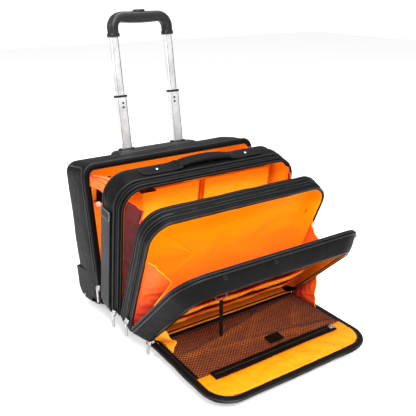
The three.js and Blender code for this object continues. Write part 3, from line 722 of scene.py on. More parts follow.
LINING = [(5.4, 111.5), (6.2, 104), (6.6, 90), (6.6, 72.6)]
LINING_BACK = [(6.6, 72.6), (6.6, 55), (7, 38), (9.5, 31), (16, 27.6), (26, 26.4), (36, 26), (45, 26), (60, 26),
               (75, 26), (90, 26), (105, 26), (120, 26), (132, 26), (145, 26)]
lining_rows = [(i, d, "full") for i, d in LINING] + [(i, d, "cut") for i, d in LINING_BACK]
verts, faces = loft(shell_rows(lining_rows), caps=(False, True))
build("shell_lining", verts, faces, S, "orange", "rear_shell", thick=0.7,
      waves=[(2.0, 60, 1.2), (1.1, 24, 5.0)], mask=lambda p: min(1.0, max(0.0, (SHELL_DEPTH + p.y) / 20)))

piping("shell_piping_front", SHELL, 0.6, 109.5, 2.1, S, "rear_shell")
run("shell_rim_tape", SHELL, 6.0, 112.8, [(-5.0, -0.6), (4.2, -0.9), (4.2, 0.3), (-5.0, 0.6)], S, "binding",
    "rear_shell", None, 5.0)
zip_coil("shell_zip", SHELL, 11.6, 112.2, S, "rear_shell", 14)


def shell_surface(depth):
    """Inset of the shell's outside at a depth."""
    rows = OUTER + FRONT
    return float(np.interp(depth, [d for _, d in rows], [i for i, _ in rows]))


def side_panel_path(side, front, back, low, high, radius):
    """Edge of a side panel from the back of its top, forwards and down its front, laid on the shell's side."""
    flat = [(back, high), (front + radius, high)]
    for i in range(1, 9):
        a = math.radians(90 + 90 * i / 8)
        flat.append((front + radius + radius * math.cos(a), high - radius + radius * math.sin(a)))
    flat.append((front, low))
    half, _, top, top_radius, _ = SHELL
    out = []
    for y, z in resample(flat, 5.0):
        inset = shell_surface(-y)
        corner = max(top_radius - inset, 3.0)
        rise = max(0.0, z - (top - inset - corner))
        x = half - inset - corner + math.sqrt(max(corner * corner - rise * rise, 0.0))
        p = Vector((side * x, y, z))
        push = sum(h * noise.noise(Vector((p.x / w + seed, p.y / w, p.z / w))) for h, w, seed in SHELL_WAVES)
        out.append((side * (x + 0.9 + push * shell_slack(p)), y, z + (1.0 if rise else 0.0)))
    return out


for side, label in ((-1, "left"), (1, "right")):
    verts, faces = cord(side_panel_path(side, -103, -16, 62, 290, 12), 1.6, 8)
    build(f"side_piping_{label}", verts, faces, S, "edging", "rear_shell")

# Handle bezel: a soft-edged tray with a raised collar round each tube.
HANDLE_Y, TUBE_X = -14.0, 68.8


def stacked(shapes):
    """Loft through horizontal rounded rectangles: (width, depth, radius, x, y, z)."""
    rings = []
    for width, depth, radius, x, y, z in shapes:
        rings.append([(x + a, y + b, z) for a, b in rounded_box(width, depth, radius, 6)])
    count = len(rings[0])
    verts = [v for r in rings for v in r]
    faces = []
    for row in range(len(rings) - 1):
        for i in range(count):
            j = (i + 1) % count
            faces.append((row * count + i, row * count + j, (row + 1) * count + j, (row + 1) * count + i))
    faces.append(tuple(range(count))[::-1])
    faces.append(tuple((len(rings) - 1) * count + i for i in range(count)))
    return verts, faces


tray = stacked([(216, 48, 14, 0, -25, 294), (216, 48, 14, 0, -25, 298.5), (211, 43, 13, 0, -24.5, 301.5),
                (204, 36, 11, 0, -23, 303.4), (198, 30, 9, 0, -22, 304)])
collars = [stacked([(37, 26, 8, s * TUBE_X, HANDLE_Y - 1, 303), (36, 25, 8, s * TUBE_X, HANDLE_Y - 1, 306),
                    (33, 22, 7, s * TUBE_X, HANDLE_Y - 0.5, 307.4), (29, 18.6, 5, s * TUBE_X, HANDLE_Y, 307.6)])
           for s in (-1, 1)]
join("bezel_tray", [tray] + collars, S, "plastic", "rear_shell", replaces=("handle_bezel",))

# Pocket inside the shell, gathered at the top, and its hem; the knob that fastens it is a CAD part, coloured further
# down.
POCKET_TOP = 206
pocket = []
for row in range(31):
    v = row / 30
    z = 56 + (POCKET_TOP - 56) * v
    swell = 4 + 7 * math.sin(math.pi * (0.12 + 0.75 * v)) ** 0.8
    line = []
    for i in range(81):
        u = i / 80
        x = -204 + 408 * u
        edge = min(1.0, 9 * min(u, 1 - u))
        gather = 0.8 * math.sin(x / 5.5) * max(0.0, v - 0.75) * 4
        line.append((x, -42 - swell * edge - gather, z - 3 * math.sin(math.pi * u) * v))
    pocket.append(line)


def sheet(rows):
    count = len(rows[0])
    verts = [p for r in rows for p in r]
    faces = [(a * count + i, a * count + i + 1, (a + 1) * count + i + 1, (a + 1) * count + i)
             for a in range(len(rows) - 1) for i in range(count - 1)]
    return verts, faces


def held_at_sides(half, low, high, border=12.0):
    """Pins a sheet's sides and bottom, and lightly its top."""
    def held(p):
        gap = min(half - abs(p[0]), p[2] - low, (high - p[2]) + border * 0.4)
        return max(0.0, 1 - gap / border)
    return held


verts, faces = sheet(pocket)
build("shell_pocket", verts, faces, S, "orange", "rear_shell", thick=1.0, closed=False,
      waves=[(1.0, 40, 2.0), (0.6, 15, 7.0)], replaces=("inner_pocket",),
      cloth={"held": held_at_sides(204, 56, POCKET_TOP), "grow": 0.03, "cap": 3.0, "bending": 0.2})
verts, faces = cord(np.array(pocket[-1]) + (0, 0, 1.2), 1.7, 8)
build("shell_pocket_hem", verts, faces, S, "trim", "rear_shell")

# Black stay strap between the pocket and the file section's back; the slack cloth folded above it comes with the side
# gussets further down.
strap = resample([(-166, -46, 196), (-166, -54, 208), (-164, -55, 226), (-161, -57, 244), (-158, -70, 256),
                  (-156, -90, 262)], 4.0)
strap_turn = normals_of(strap, False)
strap_out = np.cross(strap_turn, (1.0, 0.0, 0.0))
strap_v, strap_f = sweep(strap, np.tile((1.0, 0, 0), (len(strap), 1)), strap_out, rounded_box(17, 1.8, 0.8, 2))
build("stay_strap", strap_v, strap_f, S, "binding", "rear_shell")

# ---------------------------------------------------------------- telescopic handle
GRIP_HALF, GRIP_TOP, GRIP_LOW = 81.0, 608.0, 556.0


def grip_path():
    """Centre line of the grip: up one leg, round the corner, along the bar and down the other leg."""
    points = []
    x0, top, r = TUBE_X, GRIP_TOP - 11.5, 24
    for z in np.linspace(GRIP_LOW, top - r, 7)[:-1]:
        points.append((x0, z))
    for i in range(11):
        a = math.pi / 2 * i / 10
        points.append((x0 - r + r * math.cos(a), top - r + r * math.sin(a)))
    for x in np.linspace(x0 - r, 0, 13)[1:]:
        points.append((x, top))
    left = [(-x, z) for x, z in points[:-1]]
    return np.array(points + left[::-1])


flat = grip_path()
tangent = normals_of(np.column_stack([flat[:, 0], np.zeros(len(flat)), flat[:, 1]]), False)
outward = np.column_stack([tangent[:, 2], np.zeros(len(flat)), -tangent[:, 0]])
sections_of_grip = []
for (x, z), n_out in zip(flat, outward):
    bar = max(0.0, 1 - abs(x) / 60) if z > GRIP_TOP - 14 else 0.0
    belly = 2.4 * math.sin(bar * math.pi / 2)
    height = 22.6 + 1.2 * belly
    depth = 22.5 + 4.5 * min(1.0, max(0.0, (z - GRIP_LOW) / 20))
    shape = []
    for i in range(20):
        a = TAU * i / 20
        ca, sa = math.cos(a), math.sin(a)
        power = 0.72
        u = math.copysign(abs(ca) ** power, ca) * height / 2
        v = math.copysign(abs(sa) ** power, sa) * depth / 2
        shape.append((u - belly * 0.7, v))
    sections_of_grip.append(shape)
points = np.column_stack([flat[:, 0], np.full(len(flat), HANDLE_Y), flat[:, 1]])
verts, faces = sweep(points, outward, np.tile((0, 1.0, 0), (len(flat), 1)), sections_of_grip)
build("grip_body", verts, faces, S, "grip", "upper_handle", replaces=("handle_grip",), bevel=1.2)
skirts = [stacked([(25, 20, 6, s * TUBE_X, HANDLE_Y, GRIP_LOW - 2), (26, 22, 7, s * TUBE_X, HANDLE_Y, GRIP_LOW),
                   (26, 22, 7, s * TUBE_X, HANDLE_Y, GRIP_LOW + 6)]) for s in (-1, 1)]
join("grip_skirts", skirts, S, "plastic", "upper_handle")
button_frame = [(14.5 * math.cos(TAU * i / 24), HANDLE_Y + 8.6 * math.sin(TAU * i / 24), GRIP_TOP - 0.2)
                for i in range(24)]
verts, faces = cord(button_frame, 1.3, 8, closed=True)
build("button_surround", verts, faces, S, "plastic", "upper_handle")
for side, label in ((-1, "left"), (1, "right")):
    holes = []
    for z in (400, 409.5):
        disc = [(side * TUBE_X - side * 1.5 + 2.6 * math.cos(TAU * i / 16), HANDLE_Y - 7.2, z + 2.6 * math.sin(TAU * i / 16))
                for i in range(16)]
        holes.append(cord(disc, 0.3, 6, closed=True))
        holes.append(([tuple(p) for p in disc] + [(side * TUBE_X - side * 1.5, HANDLE_Y - 7.5, z)],
                      [(i, (i + 1) % 16, 16) for i in range(16)]))
    join(f"lock_buttons_{label}", holes, S, "plastic", "lower_handle")
    stud = stacked([(5, 6, 2.4, 0, 0, 0), (4, 5, 2, 0, 0, 1.6), (2.2, 3, 1, 0, 0, 2.2)])
    studs = [([(side * (TUBE_X - 12.6 - z), HANDLE_Y + y, h + x) for x, y, z in stud[0]], stud[1])
             for h in (372, 352)]
    join(f"stage_studs_{label}", studs, S, "aluminium", "lower_handle")

for label, side in (("left", -1), ("right", 1)):
    for stage, body, width, depth, low, high in (("lower", "lower_handle", 25.5, 14.5, 302.5, 420.5),
                                                 ("upper", "upper_handle", 20.0, 10.5, 428.5, 553.0)):
        grooves = []
        for edge, radius in ((-1, 0.45), (1, 0.6)):
            x = side * TUBE_X + edge * (width / 2 - 3.0)
            y = HANDLE_Y - depth / 2 - 0.05
            grooves.append(cord([(x, y, low), (x, y, (low + high) / 2), (x, y, high)], radius, 6))
        join(f"tube_groove_{stage}_{label}", grooves, S, "plastic", body)

# ---------------------------------------------------------------- file section
def held_band(dims, rear, front):
    """Pins a section's band except its outer padding between two depths."""
    half, bottom, top, top_radius, bottom_radius = dims

    def held(p):
        depth = -p[1]
        if not rear < depth < front:
            return 1.0
        gap = min(half - abs(p[0]), top - p[2], p[2] - bottom)
        corner_x, corner_z = abs(p[0]) - (half - top_radius), p[2] - (top - top_radius)
        if corner_x > 0 and corner_z > 0:
            gap = top_radius - math.hypot(corner_x, corner_z)
        corner_z = (bottom + bottom_radius) - p[2]
        corner_x = abs(p[0]) - (half - bottom_radius)
        if corner_x > 0 and corner_z > 0:
            gap = bottom_radius - math.hypot(corner_x, corner_z)
        return 1.0 if gap > 3 else max(0.0, 1 - min(depth - rear, front - depth) / 8)
    return held


file_rows = [(4.5, 0.2), (1.6, 0.6), (0.2, 3), (-0.8, 7), (-1.6, 12), (-2.2, 18), (-2.5, 24), (-2.5, 30),
             (-2.2, 36), (-1.6, 41), (-0.8, 45),
             (0.2, 50), (2.4, 52.4), (4.0, 53.6), (3.0, 57), (2.6, 65), (3.2, 72), (4.6, 76), (6.4, 77),
             (8.4, 76.4), (8.6, 66), (7.6, 54), (6.6, 40), (6.4, 20), (6.8, 6), (7, 0.4)]
verts, faces = loft([ring(FILE, i, d) for i, d in file_rows], loop=True)
build("file_skin", verts, faces, F, "nylon", "file_section", waves=[(1.3, 60, 4.4), (0.6, 22, 9.0)],
      mask=lambda p: 1.0 if p.y > -52 else 0.25, replaces=("file_frame", "file_rim"),
      cloth={"held": held_band(FILE, 5, 46), "pressure": 3.0, "grow": 0.015, "cap": 2.4})
piping("file_piping_back", FILE, 0.6, 2.0, 2.1, F, "file_section")
piping("file_piping_front", FILE, 0.4, 50.6, 2.1, F, "file_section")
zip_tape("file_tape", FILE, 1.9, 65, 17, F, "file_section", 6)
zip_coil("file_zip_back", FILE, 1.2, 60.5, F, "file_section", 8)
piping("file_welt", FILE, 2.6, 68.5, 1.6, F, "file_section", start=6)
zip_coil("file_zip_front", FILE, 4.2, 76.4, F, "file_section", 8)
zip_coil("file_zip_rear", FILE, 5.0, 1.2, F, "file_section", 8)

well = [(8.8, 75.8), (8.8, 66), (7.9, 52), (7.2, 30), (7.6, 12), (10, 6.4), (16, 5), (28, 4.8), (40, 4.8), (60, 4.8),
        (80, 4.8), (95, 4.8), (110, 4.8), (128, 4.8), (145, 4.8)]
verts, faces = loft([ring(FILE, i, d) for i, d in well], caps=(False, True))
build("file_lining", verts, faces, F, "orange", "file_section", thick=0.7,
      waves=[(1.4, 45, 2.7), (0.6, 18, 6.0)], replaces=("file_back",))
back = [(5.5, 0.9), (20, 0.6), (60, 0.6), (110, 0.6), (145, 0.6)]
verts, faces = loft([ring(FILE, i, d) for i, d in back], caps=(False, True))
build("file_back_cloth", verts, faces, F, "orange", "file_section", thick=0.8, waves=[(1.0, 60, 3.7)])


def pouch(name, x0, x1, replaced):
    """Padded divider: a front panel with pleated sides running back to the wall."""
    low, high, front, rear = 6.0, 257.0, -24.0, -6.0
    rows = []
    for k in range(41):
        v = k / 40
        z = low + (high - low) * v
        line = []
        for i in range(7):
            t = i / 7
            pleat = 5.0 * math.sin(math.pi * t) * (0.4 + 0.6 * v)
            line.append((x0 + pleat, rear + (front - rear) * t, z))
        for i in range(41):
            u = i / 40
            belly = 2.2 * math.sin(math.pi * u) * math.sin(math.pi * min(1, v * 1.1))
            line.append((x0 + (x1 - x0) * u, front - belly, z - 1.5 * math.sin(math.pi * u) * v))
        for i in range(7):
            t = 1 - (i + 1) / 7
            pleat = 5.0 * math.sin(math.pi * t) * (0.4 + 0.6 * v)
            line.append((x1 - pleat, rear + (front - rear) * t, z))
        rows.append(line)
    verts, faces = sheet(rows)
    middle, reach = (x0 + x1) / 2, abs(x1 - x0) / 2

    def held(p):
        gap = min(reach - abs(p[0] - middle), p[2] - low, (high - p[2]) + 3)
        return 1.0 if p[1] > front + 1 else max(0.0, 1 - gap / 9)
    build(name, verts, faces, F, "orange", "file_section", thick=1.2, closed=False,
          waves=[(0.8, 50, x0), (0.4, 20, 3.0)], replaces=(replaced,),
          cloth={"held": held, "grow": 0.02, "cap": 3.0, "bending": 0.4})
    hem = [(x, y - 0.2, z + 0.6) for x, y, z in rows[-1]]
    verts, faces = cord(hem, 1.5, 6)
    build(name + "_hem", verts, faces, F, "amber", "file_section")


panel_rows = []
for k in range(31):
    v = k / 30
    panel_rows.append([(-187 + 47 * u, -26.6 - 2.4 * math.sin(math.pi * min(1, v * 1.1)) * math.sin(math.pi * u) ** 0.5,
                        20 + 236 * v) for u in np.linspace(0, 1, 13)])
verts, faces = sheet(panel_rows)
build("divider_side_panel", verts, faces, F, "golden", "file_section", thick=0.9, closed=False,
      waves=[(0.4, 30, 5.0)])
pouch("divider_pouch_left", -190, -4, "divider_left")
pouch("divider_pouch_right", 12, 190, "divider_right")
tab = resample([(-168, -62, 287), (-165, -60, 277.5), (-150, -59, 277), (-131, -59, 276.5)], 4.0)
tab_turn = normals_of(tab, False)
tab_v, tab_f = sweep(tab, np.tile((0, -1.0, 0), (len(tab), 1)), np.cross(tab_turn, (0, 1.0, 0)),
                     rounded_box(13, 1.8, 0.8, 2))
build("divider_tab", tab_v, tab_f, F, "binding", "file_section")

# Side webbing, its loop, and the carry handle with its anchors.
ribs = []
for i in range(37):
    a = -18 + i
    ribs.append((1.5 + 0.28 * math.cos(math.pi * i / 1.5), a))
profile = [(0.0, -18), *ribs, (0.0, 18)]
side_path, side_out = arch(FILE, -3.6, 6, 6.0)
keep = [i for i, (x, z) in enumerate(side_path) if x < 0 and z < 232]
points = np.array([(side_path[i][0], -23.0, side_path[i][1]) for i in keep])
across = np.array([(side_out[i][0], 0, side_out[i][1]) for i in keep])
verts, faces = sweep(points, across, np.tile((0, -1.0, 0), (len(keep), 1)), profile)
build("webbing_strip", verts, faces, F, "webbing", "file_section", replaces=("side_webbing",))
low_edge = points[-1]
fold = [(low_edge[0] + 0.4, -23, low_edge[2]), (low_edge[0] + 2, -23, -2), (low_edge[0] + 9, -23, -7.5),
        (low_edge[0] + 30, -23, -8)]
fold = resample(fold, 4.0)
t = normals_of(fold, False)
across = np.cross(t, (0, 1.0, 0))
verts, faces = sweep(fold, across, np.tile((0, -1.0, 0), (len(fold), 1)), rounded_box(2.2, 36, 0.8, 2))
build("webbing_turn", verts, faces, F, "webbing", "file_section")

LOOP_X, LOOP_Z, LOOP_Y = -219.6, 225.0, -23.0
wire = [(LOOP_X, LOOP_Y + a, LOOP_Z + b) for a, b in rounded_box(36, 18, 5, 5)]
verts, faces = cord(wire, 1.9, 10, closed=True)
build("loop_wire", verts, faces, F, "dark_metal", "side_loop", replaces=("side_loop",))
keeper = [(-217.2, LOOP_Y, 212), (-218.6, LOOP_Y, 215), (-221.6, LOOP_Y, 217), (-221.8, LOOP_Y, 220),
          (-218.6, LOOP_Y, 221.5), (-217.0, LOOP_Y, 219)]
keeper = resample(keeper, 1.5)
t = normals_of(keeper, False)
verts, faces = sweep(keeper, np.cross(t, (0, 1.0, 0)), np.tile((0, -1.0, 0), (len(keeper), 1)),
                     rounded_box(1.2, 26, 0.5, 2))
build("loop_keeper", verts, faces, F, "webbing", "file_section")


def carry_handle():
    """Soft padded grip that arches between its two anchors."""
    half, base = 66.0, FILE[2]
    points, shapes = [], []
    for i in range(41):
        u = -1 + 2 * i / 40
        x = half * u
        lift = 6.2 + 3.8 * (1 - u * u)
        wide = 15.5 - 3.0 * abs(u) ** 6
        tall = 5.4 - 1.6 * abs(u) ** 4
        points.append((x, -27.0, base + lift))
        shape = []
        for k in range(24):
            a = TAU * k / 24
            ca, sa = math.cos(a), math.sin(a)
            shape.append((math.copysign(abs(ca) ** 0.6, ca) * wide, math.copysign(abs(sa) ** 0.8, sa) * tall))
        shapes.append(shape)
    return sweep(points, np.tile((0, -1.0, 0), (41, 1)), np.tile((0, 0, 1.0), (41, 1)), shapes)


verts, faces = carry_handle()
build("carry_pad", verts, faces, F, "nylon", "carry_handle", waves=[(0.6, 30, 2.2), (0.3, 12, 4.1)],
      replaces=("carry_handle",), subdivide=1,
      cloth={"held": lambda p: max(0.0, 1 - (66 - abs(p[0])) / 8), "pressure": 4.0, "grow": 0.02, "cap": 1.6})
for side, label in ((-1, "left"), (1, "right")):
    rows = []
    for i in range(25):
        t = i / 24
        x = side * (58 + 92 * t)
        rise = 3.4 + 4.6 * max(0.0, 1 - t * 3.2) ** 1.5
        wide = 19 * (1 - 0.15 * t)
        line = []
        for k in range(13):
            w = -1 + k / 6
            corner = 1 - max(0, t - 0.9) * 6
            line.append((x, -27 + w * wide * corner, FILE[2] + rise - 1.6 * abs(w) ** 3 + 0.4))
        rows.append(line)
    verts, faces = sheet(rows)
    anchor = build(f"handle_anchor_cloth_{label}", verts, faces, F, "band", "file_section", thick=2.2,
                   closed=False, waves=[(0.7, 30, side)], replaces=(f"handle_anchor_{label}",), bevel=0.6)
    edge = [(side * x, -27 + y, FILE[2] + 5.2) for x, y in
            ((78, -16), (142, -14.5), (145, 0), (142, 14.5), (78, 16))]
    join(f"anchor_stitches_{label}", stitches(edge, 3.2, 1.6, 0.45), F, "thread", "file_section")

# ---------------------------------------------------------------- document section
doc_rows = [(5, 0.3), (2.0, 0.8), (0.8, 3), (0.6, 8), (1.0, 12), (-0.4, 16), (-1.0, 20), (-0.6, 25), (0.9, 28),
            (0.9, 33), (0.2, 37), (0.6, 41), (2.4, 43), (4.6, 43.6), (7.0, 42.8), (7.4, 30), (7.4, 15), (7.4, 3),
            (7, 0.4)]
verts, faces = loft([ring(DOCUMENT, i, d) for i, d in doc_rows], loop=True)
build("document_skin", verts, faces, D, "band", "document_section", waves=[(0.8, 50, 2.4), (0.4, 20, 5.0)],
      replaces=("document_frame",))
zip_coil("document_zip_back", DOCUMENT, 0.6, 6.5, D, "document_section", 10)
piping("document_piping_a", DOCUMENT, 0.2, 13.5, 1.7, D, "document_section", start=6)
zip_coil("document_zip_front", DOCUMENT, 0.5, 30.5, D, "document_section", 10)
piping("document_piping_b", DOCUMENT, 0.4, 23.5, 1.4, D, "document_section", start=6)
piping("document_piping_front", DOCUMENT, 2.8, 42.0, 2.2, D, "document_section")
well = [(7.8, 42.4), (7.8, 34), (7.8, 16), (9.5, 7.5), (15, 5.2), (27, 5), (40, 5), (50, 5), (60, 5), (70, 5), (80, 5),
        (90, 5), (100, 5), (110, 5), (120, 5), (132, 5), (145, 5)]
verts, faces = loft([ring(DOCUMENT, i, d) for i, d in well], caps=(False, True))
build("document_lining", verts, faces, D, "wall", "document_section", thick=0.7,
      waves=[(1.5, 80, 5.5), (0.5, 25, 6.6)], replaces=("document_back",),
      cloth={"held": lambda p: 1.0 if p[1] < -7 else max(0.0, 1 - min(207 - abs(p[0]), 287 - p[2], p[2] - 8) / 10),
             "grow": 0.004, "cap": 1.4, "bending": 2.0})
back = [(5.5, 1.1), (20, 0.8), (60, 0.8), (110, 0.8), (145, 0.8)]
verts, faces = loft([ring(DOCUMENT, i, d) for i, d in back], caps=(False, True))
build("document_back_cloth", verts, faces, D, "orange", "document_section", thick=0.8, waves=[(1.0, 60, 8.7)])

# ---------------------------------------------------------------- organiser
def taper(inset, depth):
    share = min(1.0, max(0.0, (depth - 8) / (ORGANISER_DEPTH - 9)))
    return ring(between(ORGANISER, POCKET_RIM, share), inset, depth)


org_rows = [(6, 0.2), (2.6, 0.5), (0.6, 2), (0, 5), (0.2, 9), (-1.2, 14), (-1.9, 20), (-1.8, 27), (-0.8, 33),
            (0.4, 36.2), (2.6, 37.2), (5.0, 37.4), (6.4, 36.2), (6.4, 25), (6.6, 12), (7.5, 3), (7.2, 0.4)]
verts, faces = loft([taper(i, d) for i, d in org_rows], loop=True)
build("organiser_skin", verts, faces, O, "nylon", "organiser", waves=[(1.6, 70, 1.4), (0.7, 26, 9.9)],
      mask=lambda p: 1.0 if p.y < -8 else 0.2, replaces=("organiser_frame",))
zip_coil("organiser_zip", ORGANISER, -0.4, 5.0, O, "organiser", 22, radius=1.6)
piping("organiser_piping_back", ORGANISER, 1.6, 1.7, 1.8, O, "organiser", start=8)
piping("organiser_welt", ORGANISER, 0.6, 10.0, 1.5, O, "organiser", start=8)
piping("organiser_piping_front", POCKET_RIM, 1.8, 35.6, 1.9, O, "organiser")
for x, depth in ((-132, 17), (-20, 17)):
    snap = [(x + 3.2 * math.cos(TAU * i / 18), -depth + 3.2 * math.sin(TAU * i / 18), ORGANISER[2] - 2.4)
            for i in range(18)]
    verts, faces = cord(snap, 0.9, 8, closed=True)
    build(f"snap_rim_{'left' if x < -100 else 'middle'}", verts, faces, O, "plastic", "organiser")
run("organiser_rim_tape", POCKET_RIM, 8.0, 34.0, [(-13.0, -0.5), (1.2, -0.5), (1.2, 0.4), (-13.0, 0.4)], O, "binding",
    "organiser", None, 5.0)
zip_coil("organiser_zip_front", POCKET_RIM, 5.6, 36.7, O, "organiser", 26)
well = [(6.8, 37.4), (6.8, 25), (7.2, 12), (9.5, 7), (16, 5.4), (40, 5.2), (80, 5.2), (105, 5.2), (120, 5.2)]
verts, faces = loft([taper(i, d) for i, d in well], caps=(False, True))
build("organiser_lining", verts, faces, O, "orange", "organiser", thick=0.7,
      waves=[(1.2, 50, 5.1), (0.5, 20, 8.6)], replaces=("organiser_panel",))
back = [(5.5, 0.9), (20, 0.6), (60, 0.6), (100, 0.6), (130, 0.6)]
verts, faces = loft([ring(ORGANISER, i, d) for i, d in back], caps=(False, True))
build("organiser_back_cloth", verts, faces, O, "orange", "organiser", thick=0.8, waves=[(1.0, 60, 4.7)])
for k, (low, high, front, left, right) in enumerate(((26, 118, -13, -176, 176), (26, 84, -20, -168, 170))):
    rows = []
    for r in range(21):
        v = r / 20
        line = []
        for i in range(81):
            u = i / 80
            x = left + (right - left) * u
            slots = 1.8 * abs(math.sin(math.pi * u * (3 + k)))
            line.append((x, front - slots * (0.3 + 0.7 * v) - 5 * v * (1 - abs(2 * u - 1) ** 6), low + (high - low) * v))
        rows.append(line)
    verts, faces = sheet(rows)
    build(f"organiser_pocket_{k}", verts, faces, O, "orange", "organiser", thick=1.0, closed=False,
          waves=[(1.0, 35, 3.3 + k), (0.5, 14, 1.0)],
          cloth={"held": held_at_sides(right, low, high, 9.0), "grow": 0.03, "cap": 3.0, "bending": 0.2})
    verts, faces = cord(np.array(rows[-1]) + (0, 0, 0.8), 1.5, 6)
    build(f"organiser_pocket_trim_{k}", verts, faces, O, "trim", "organiser")

# ---------------------------------------------------------------- front flap
flap_rows = [(14, 0.0), (11, 0.2), (6.5, 0.25), (2.6, -0.3), (0.8, -1.6), (0.6, -3.4), (1.6, -5.4), (4.4, -7.4), (9, -8.2),
             (20, -8.6), (40, -8.8), (60, -9), (80, -9), (100, -9), (115, -9)]


def flap_ring(inset, height):
    flat = outline(FLAP, inset)
    return np.column_stack([flat[:, 0], np.full(len(flat), float(height)), flat[:, 1]])


under = [(inset, height) for inset, height in flap_rows]
top_side = [(115, -1.2), (60, -1.2), (16, -1.2)]
verts, faces = loft([flap_ring(i, h) for i, h in under], caps=(False, True))
closing = [flap_ring(115, -1.6), flap_ring(60, -1.6), flap_ring(18, -1.6), flap_ring(14, 0.0)]
v2, f2 = loft(closing, caps=(True, False))
base = len(verts)
verts = np.concatenate([verts, v2])
faces = faces + [tuple(i + base for i in f) for f in f2]
build("flap_body", verts, faces, P, "nylon", "front_flap", waves=[(1.4, 70, 6.4), (0.6, 25, 2.9)],
      replaces=("flap_binding", "flap_board"))


def flap_run(name, inset, height, radius, material="edging"):
    path, outward = around(FLAP, inset, 4.0)
    zero = np.zeros(len(path))
    points = np.column_stack([path[:, 0], zero + height, path[:, 1]])
    across = np.column_stack([outward[:, 0], zero, outward[:, 1]])
    verts, faces = sweep(points, across, np.tile((0, 1.0, 0), (len(path), 1)), circle(radius, 10), True)
    return build(name, verts, faces, P, material, "front_flap")


flap_run("flap_edge_outer", 2.4, -2.0, 2.1)
flap_run("flap_seam_inner", 12.6, 1.0, 1.3)
flap_run("flap_seam_under", 12.0, -8.2, 1.6)


def flap_height(x, z):
    """Rise of the slack net above the flap: soft pulls across it and a long diagonal one."""
    edge = min(1.0, (FLAP[0] - 15 - abs(x)) / 26, (z - 6) / 18, (160 - z) / 14)
    fold = 3.4 * math.exp(-((z - 52 + 0.22 * x) / 9) ** 2) + 2.6 * math.exp(-((z - 112 - 0.2 * x) / 8) ** 2)
    ridge = 4.4 * math.exp(-((x - 60 + 1.1 * (z - 20)) / 10) ** 2) * math.exp(-((z - 60) / 55) ** 2)
    second = 3.2 * math.exp(-((x - 120 + 0.7 * (z - 70)) / 9) ** 2) * math.exp(-((z - 105) / 40) ** 2)
    ripple = 1.3 * noise.noise(Vector((x / 46, z / 26, 4.0))) + 0.6 * noise.noise(Vector((x / 17, z / 15, 9.0)))
    return max(0.0, edge) * (fold + ridge + second + ripple + 1.0)


GOLD_TOP = FLAP[2] - 12.5
rows = []
for r in range(47):
    z = 6 + (GOLD_TOP - 6) * r / 46
    line = []
    for i in range(77):
        u = -1 + 2 * i / 76
        half = FLAP[0] - 12.5
        corner = FLAP[3] - 10
        rise = max(0.0, z - (GOLD_TOP - corner))
        half -= corner - math.sqrt(max(corner * corner - rise * rise, 0.0))
        x = half * u
        puff = 1.5 * max(0.0, math.sin(math.pi * (0.5 + u / 2))) ** 0.4 if z > 176 else 0.4
        wave = 0.6 * noise.noise(Vector((x / 30, z / 26, 2.0))) + 0.4 * noise.noise(Vector((x / 12, z / 30, 7.0)))
        line.append((x, 0.6 + puff + wave * min(1.0, (1 - abs(u)) * 8), z))
    rows.append(line)


def gold_held(p):
    """The lining is sewn round its border and under the zip."""
    corner = FLAP[3] - 10
    side = FLAP[0] - 12.5 - abs(p[0])
    over_x, over_z = abs(p[0]) - (FLAP[0] - 12.5 - corner), p[2] - (GOLD_TOP - corner)
    if over_x > 0 and over_z > 0:
        side = corner - math.hypot(over_x, over_z)
    gap = min(side, GOLD_TOP - p[2], abs(p[2] - 172) if p[2] > 172 else 0)
    return max(0.0, 1 - gap / 7)


verts, faces = sheet(rows)
build("flap_lining", verts, faces, P, "golden", "front_flap", thick=0.8, closed=False,
      cloth={"held": gold_held, "grow": 0.05, "cap": 2.6, "bending": 0.15, "frames": 20})

NET = (-178.0, 178.0, 8.0, 154.0)
strands = []
pitch = 7.0
for direction in (1, -1):
    offset = NET[0] - (NET[3] - NET[2])
    while offset < NET[1] + (NET[3] - NET[2]):
        line = []
        for t in np.linspace(0, NET[3] - NET[2], 44):
            x = offset + t if direction == 1 else offset + (NET[3] - NET[2]) - t
            z = NET[2] + t
            if NET[0] <= x <= NET[1]:
                line.append((x, 3.2 + flap_height(x, z) + 0.3 * direction, z))
        if len(line) > 2:
            strands.append(cord(line, 1.0, 3))
        offset += pitch
join("flap_net", strands, P, "net", "front_flap", replaces=("mesh_pocket",))
tape_rows = []
for r in range(7):
    z = 151 + 23 * r / 6
    tape_rows.append([(-151 + 301 * i / 60, 4.2 + 0.8 * math.sin(math.pi * r / 6)
                       + 0.5 * noise.noise(Vector((i / 6, r / 5, 3.0))), z + 1.0 * math.sin(i / 9)) for i in range(61)])
verts, faces = sheet(tape_rows)
build("net_tape", verts, faces, P, "binding", "front_flap", thick=1.2, closed=False, replaces=("mesh_zip_tape",))
coil = resample([(-148, 5.6, 163), (0, 5.6, 163.6), (146, 5.6, 163)], TOOTH / 3)
verts, faces = cord(coil, [1.3 * (0.62, 1.0, 1.0)[i % 3] for i in range(len(coil))], 6)
build("net_zip", verts, faces, P, "plastic", "front_flap")
for label, path in (("left", [(-177, 3.6, 9), (-177, 3.6, 152)]), ("right", [(177, 3.6, 9), (177, 3.6, 152)]),
                    ("back", [(-177, 3.6, 9), (177, 3.6, 9)])):
    strip = resample(path, 5)
    t = normals_of(strip, False)
    verts, faces = sweep(strip, np.cross(t, (0, 1.0, 0)), np.tile((0, 1.0, 0), (len(strip), 1)),
                         rounded_box(5, 1.6, 0.7, 2))
    build(f"net_border_{label}", verts, faces, P, "binding", "front_flap")
label_v, label_f = slab(35, 23, 1.0, 1.2, (0, 0, 0))
label_v = np.array([(x + 20, 5.4 + y + flap_height(x + 20, z + 130) * 0.8, z + 130) for x, y, z in label_v])
build("blank_label", label_v, label_f, P, "binding", "front_flap", bevel=0.3)

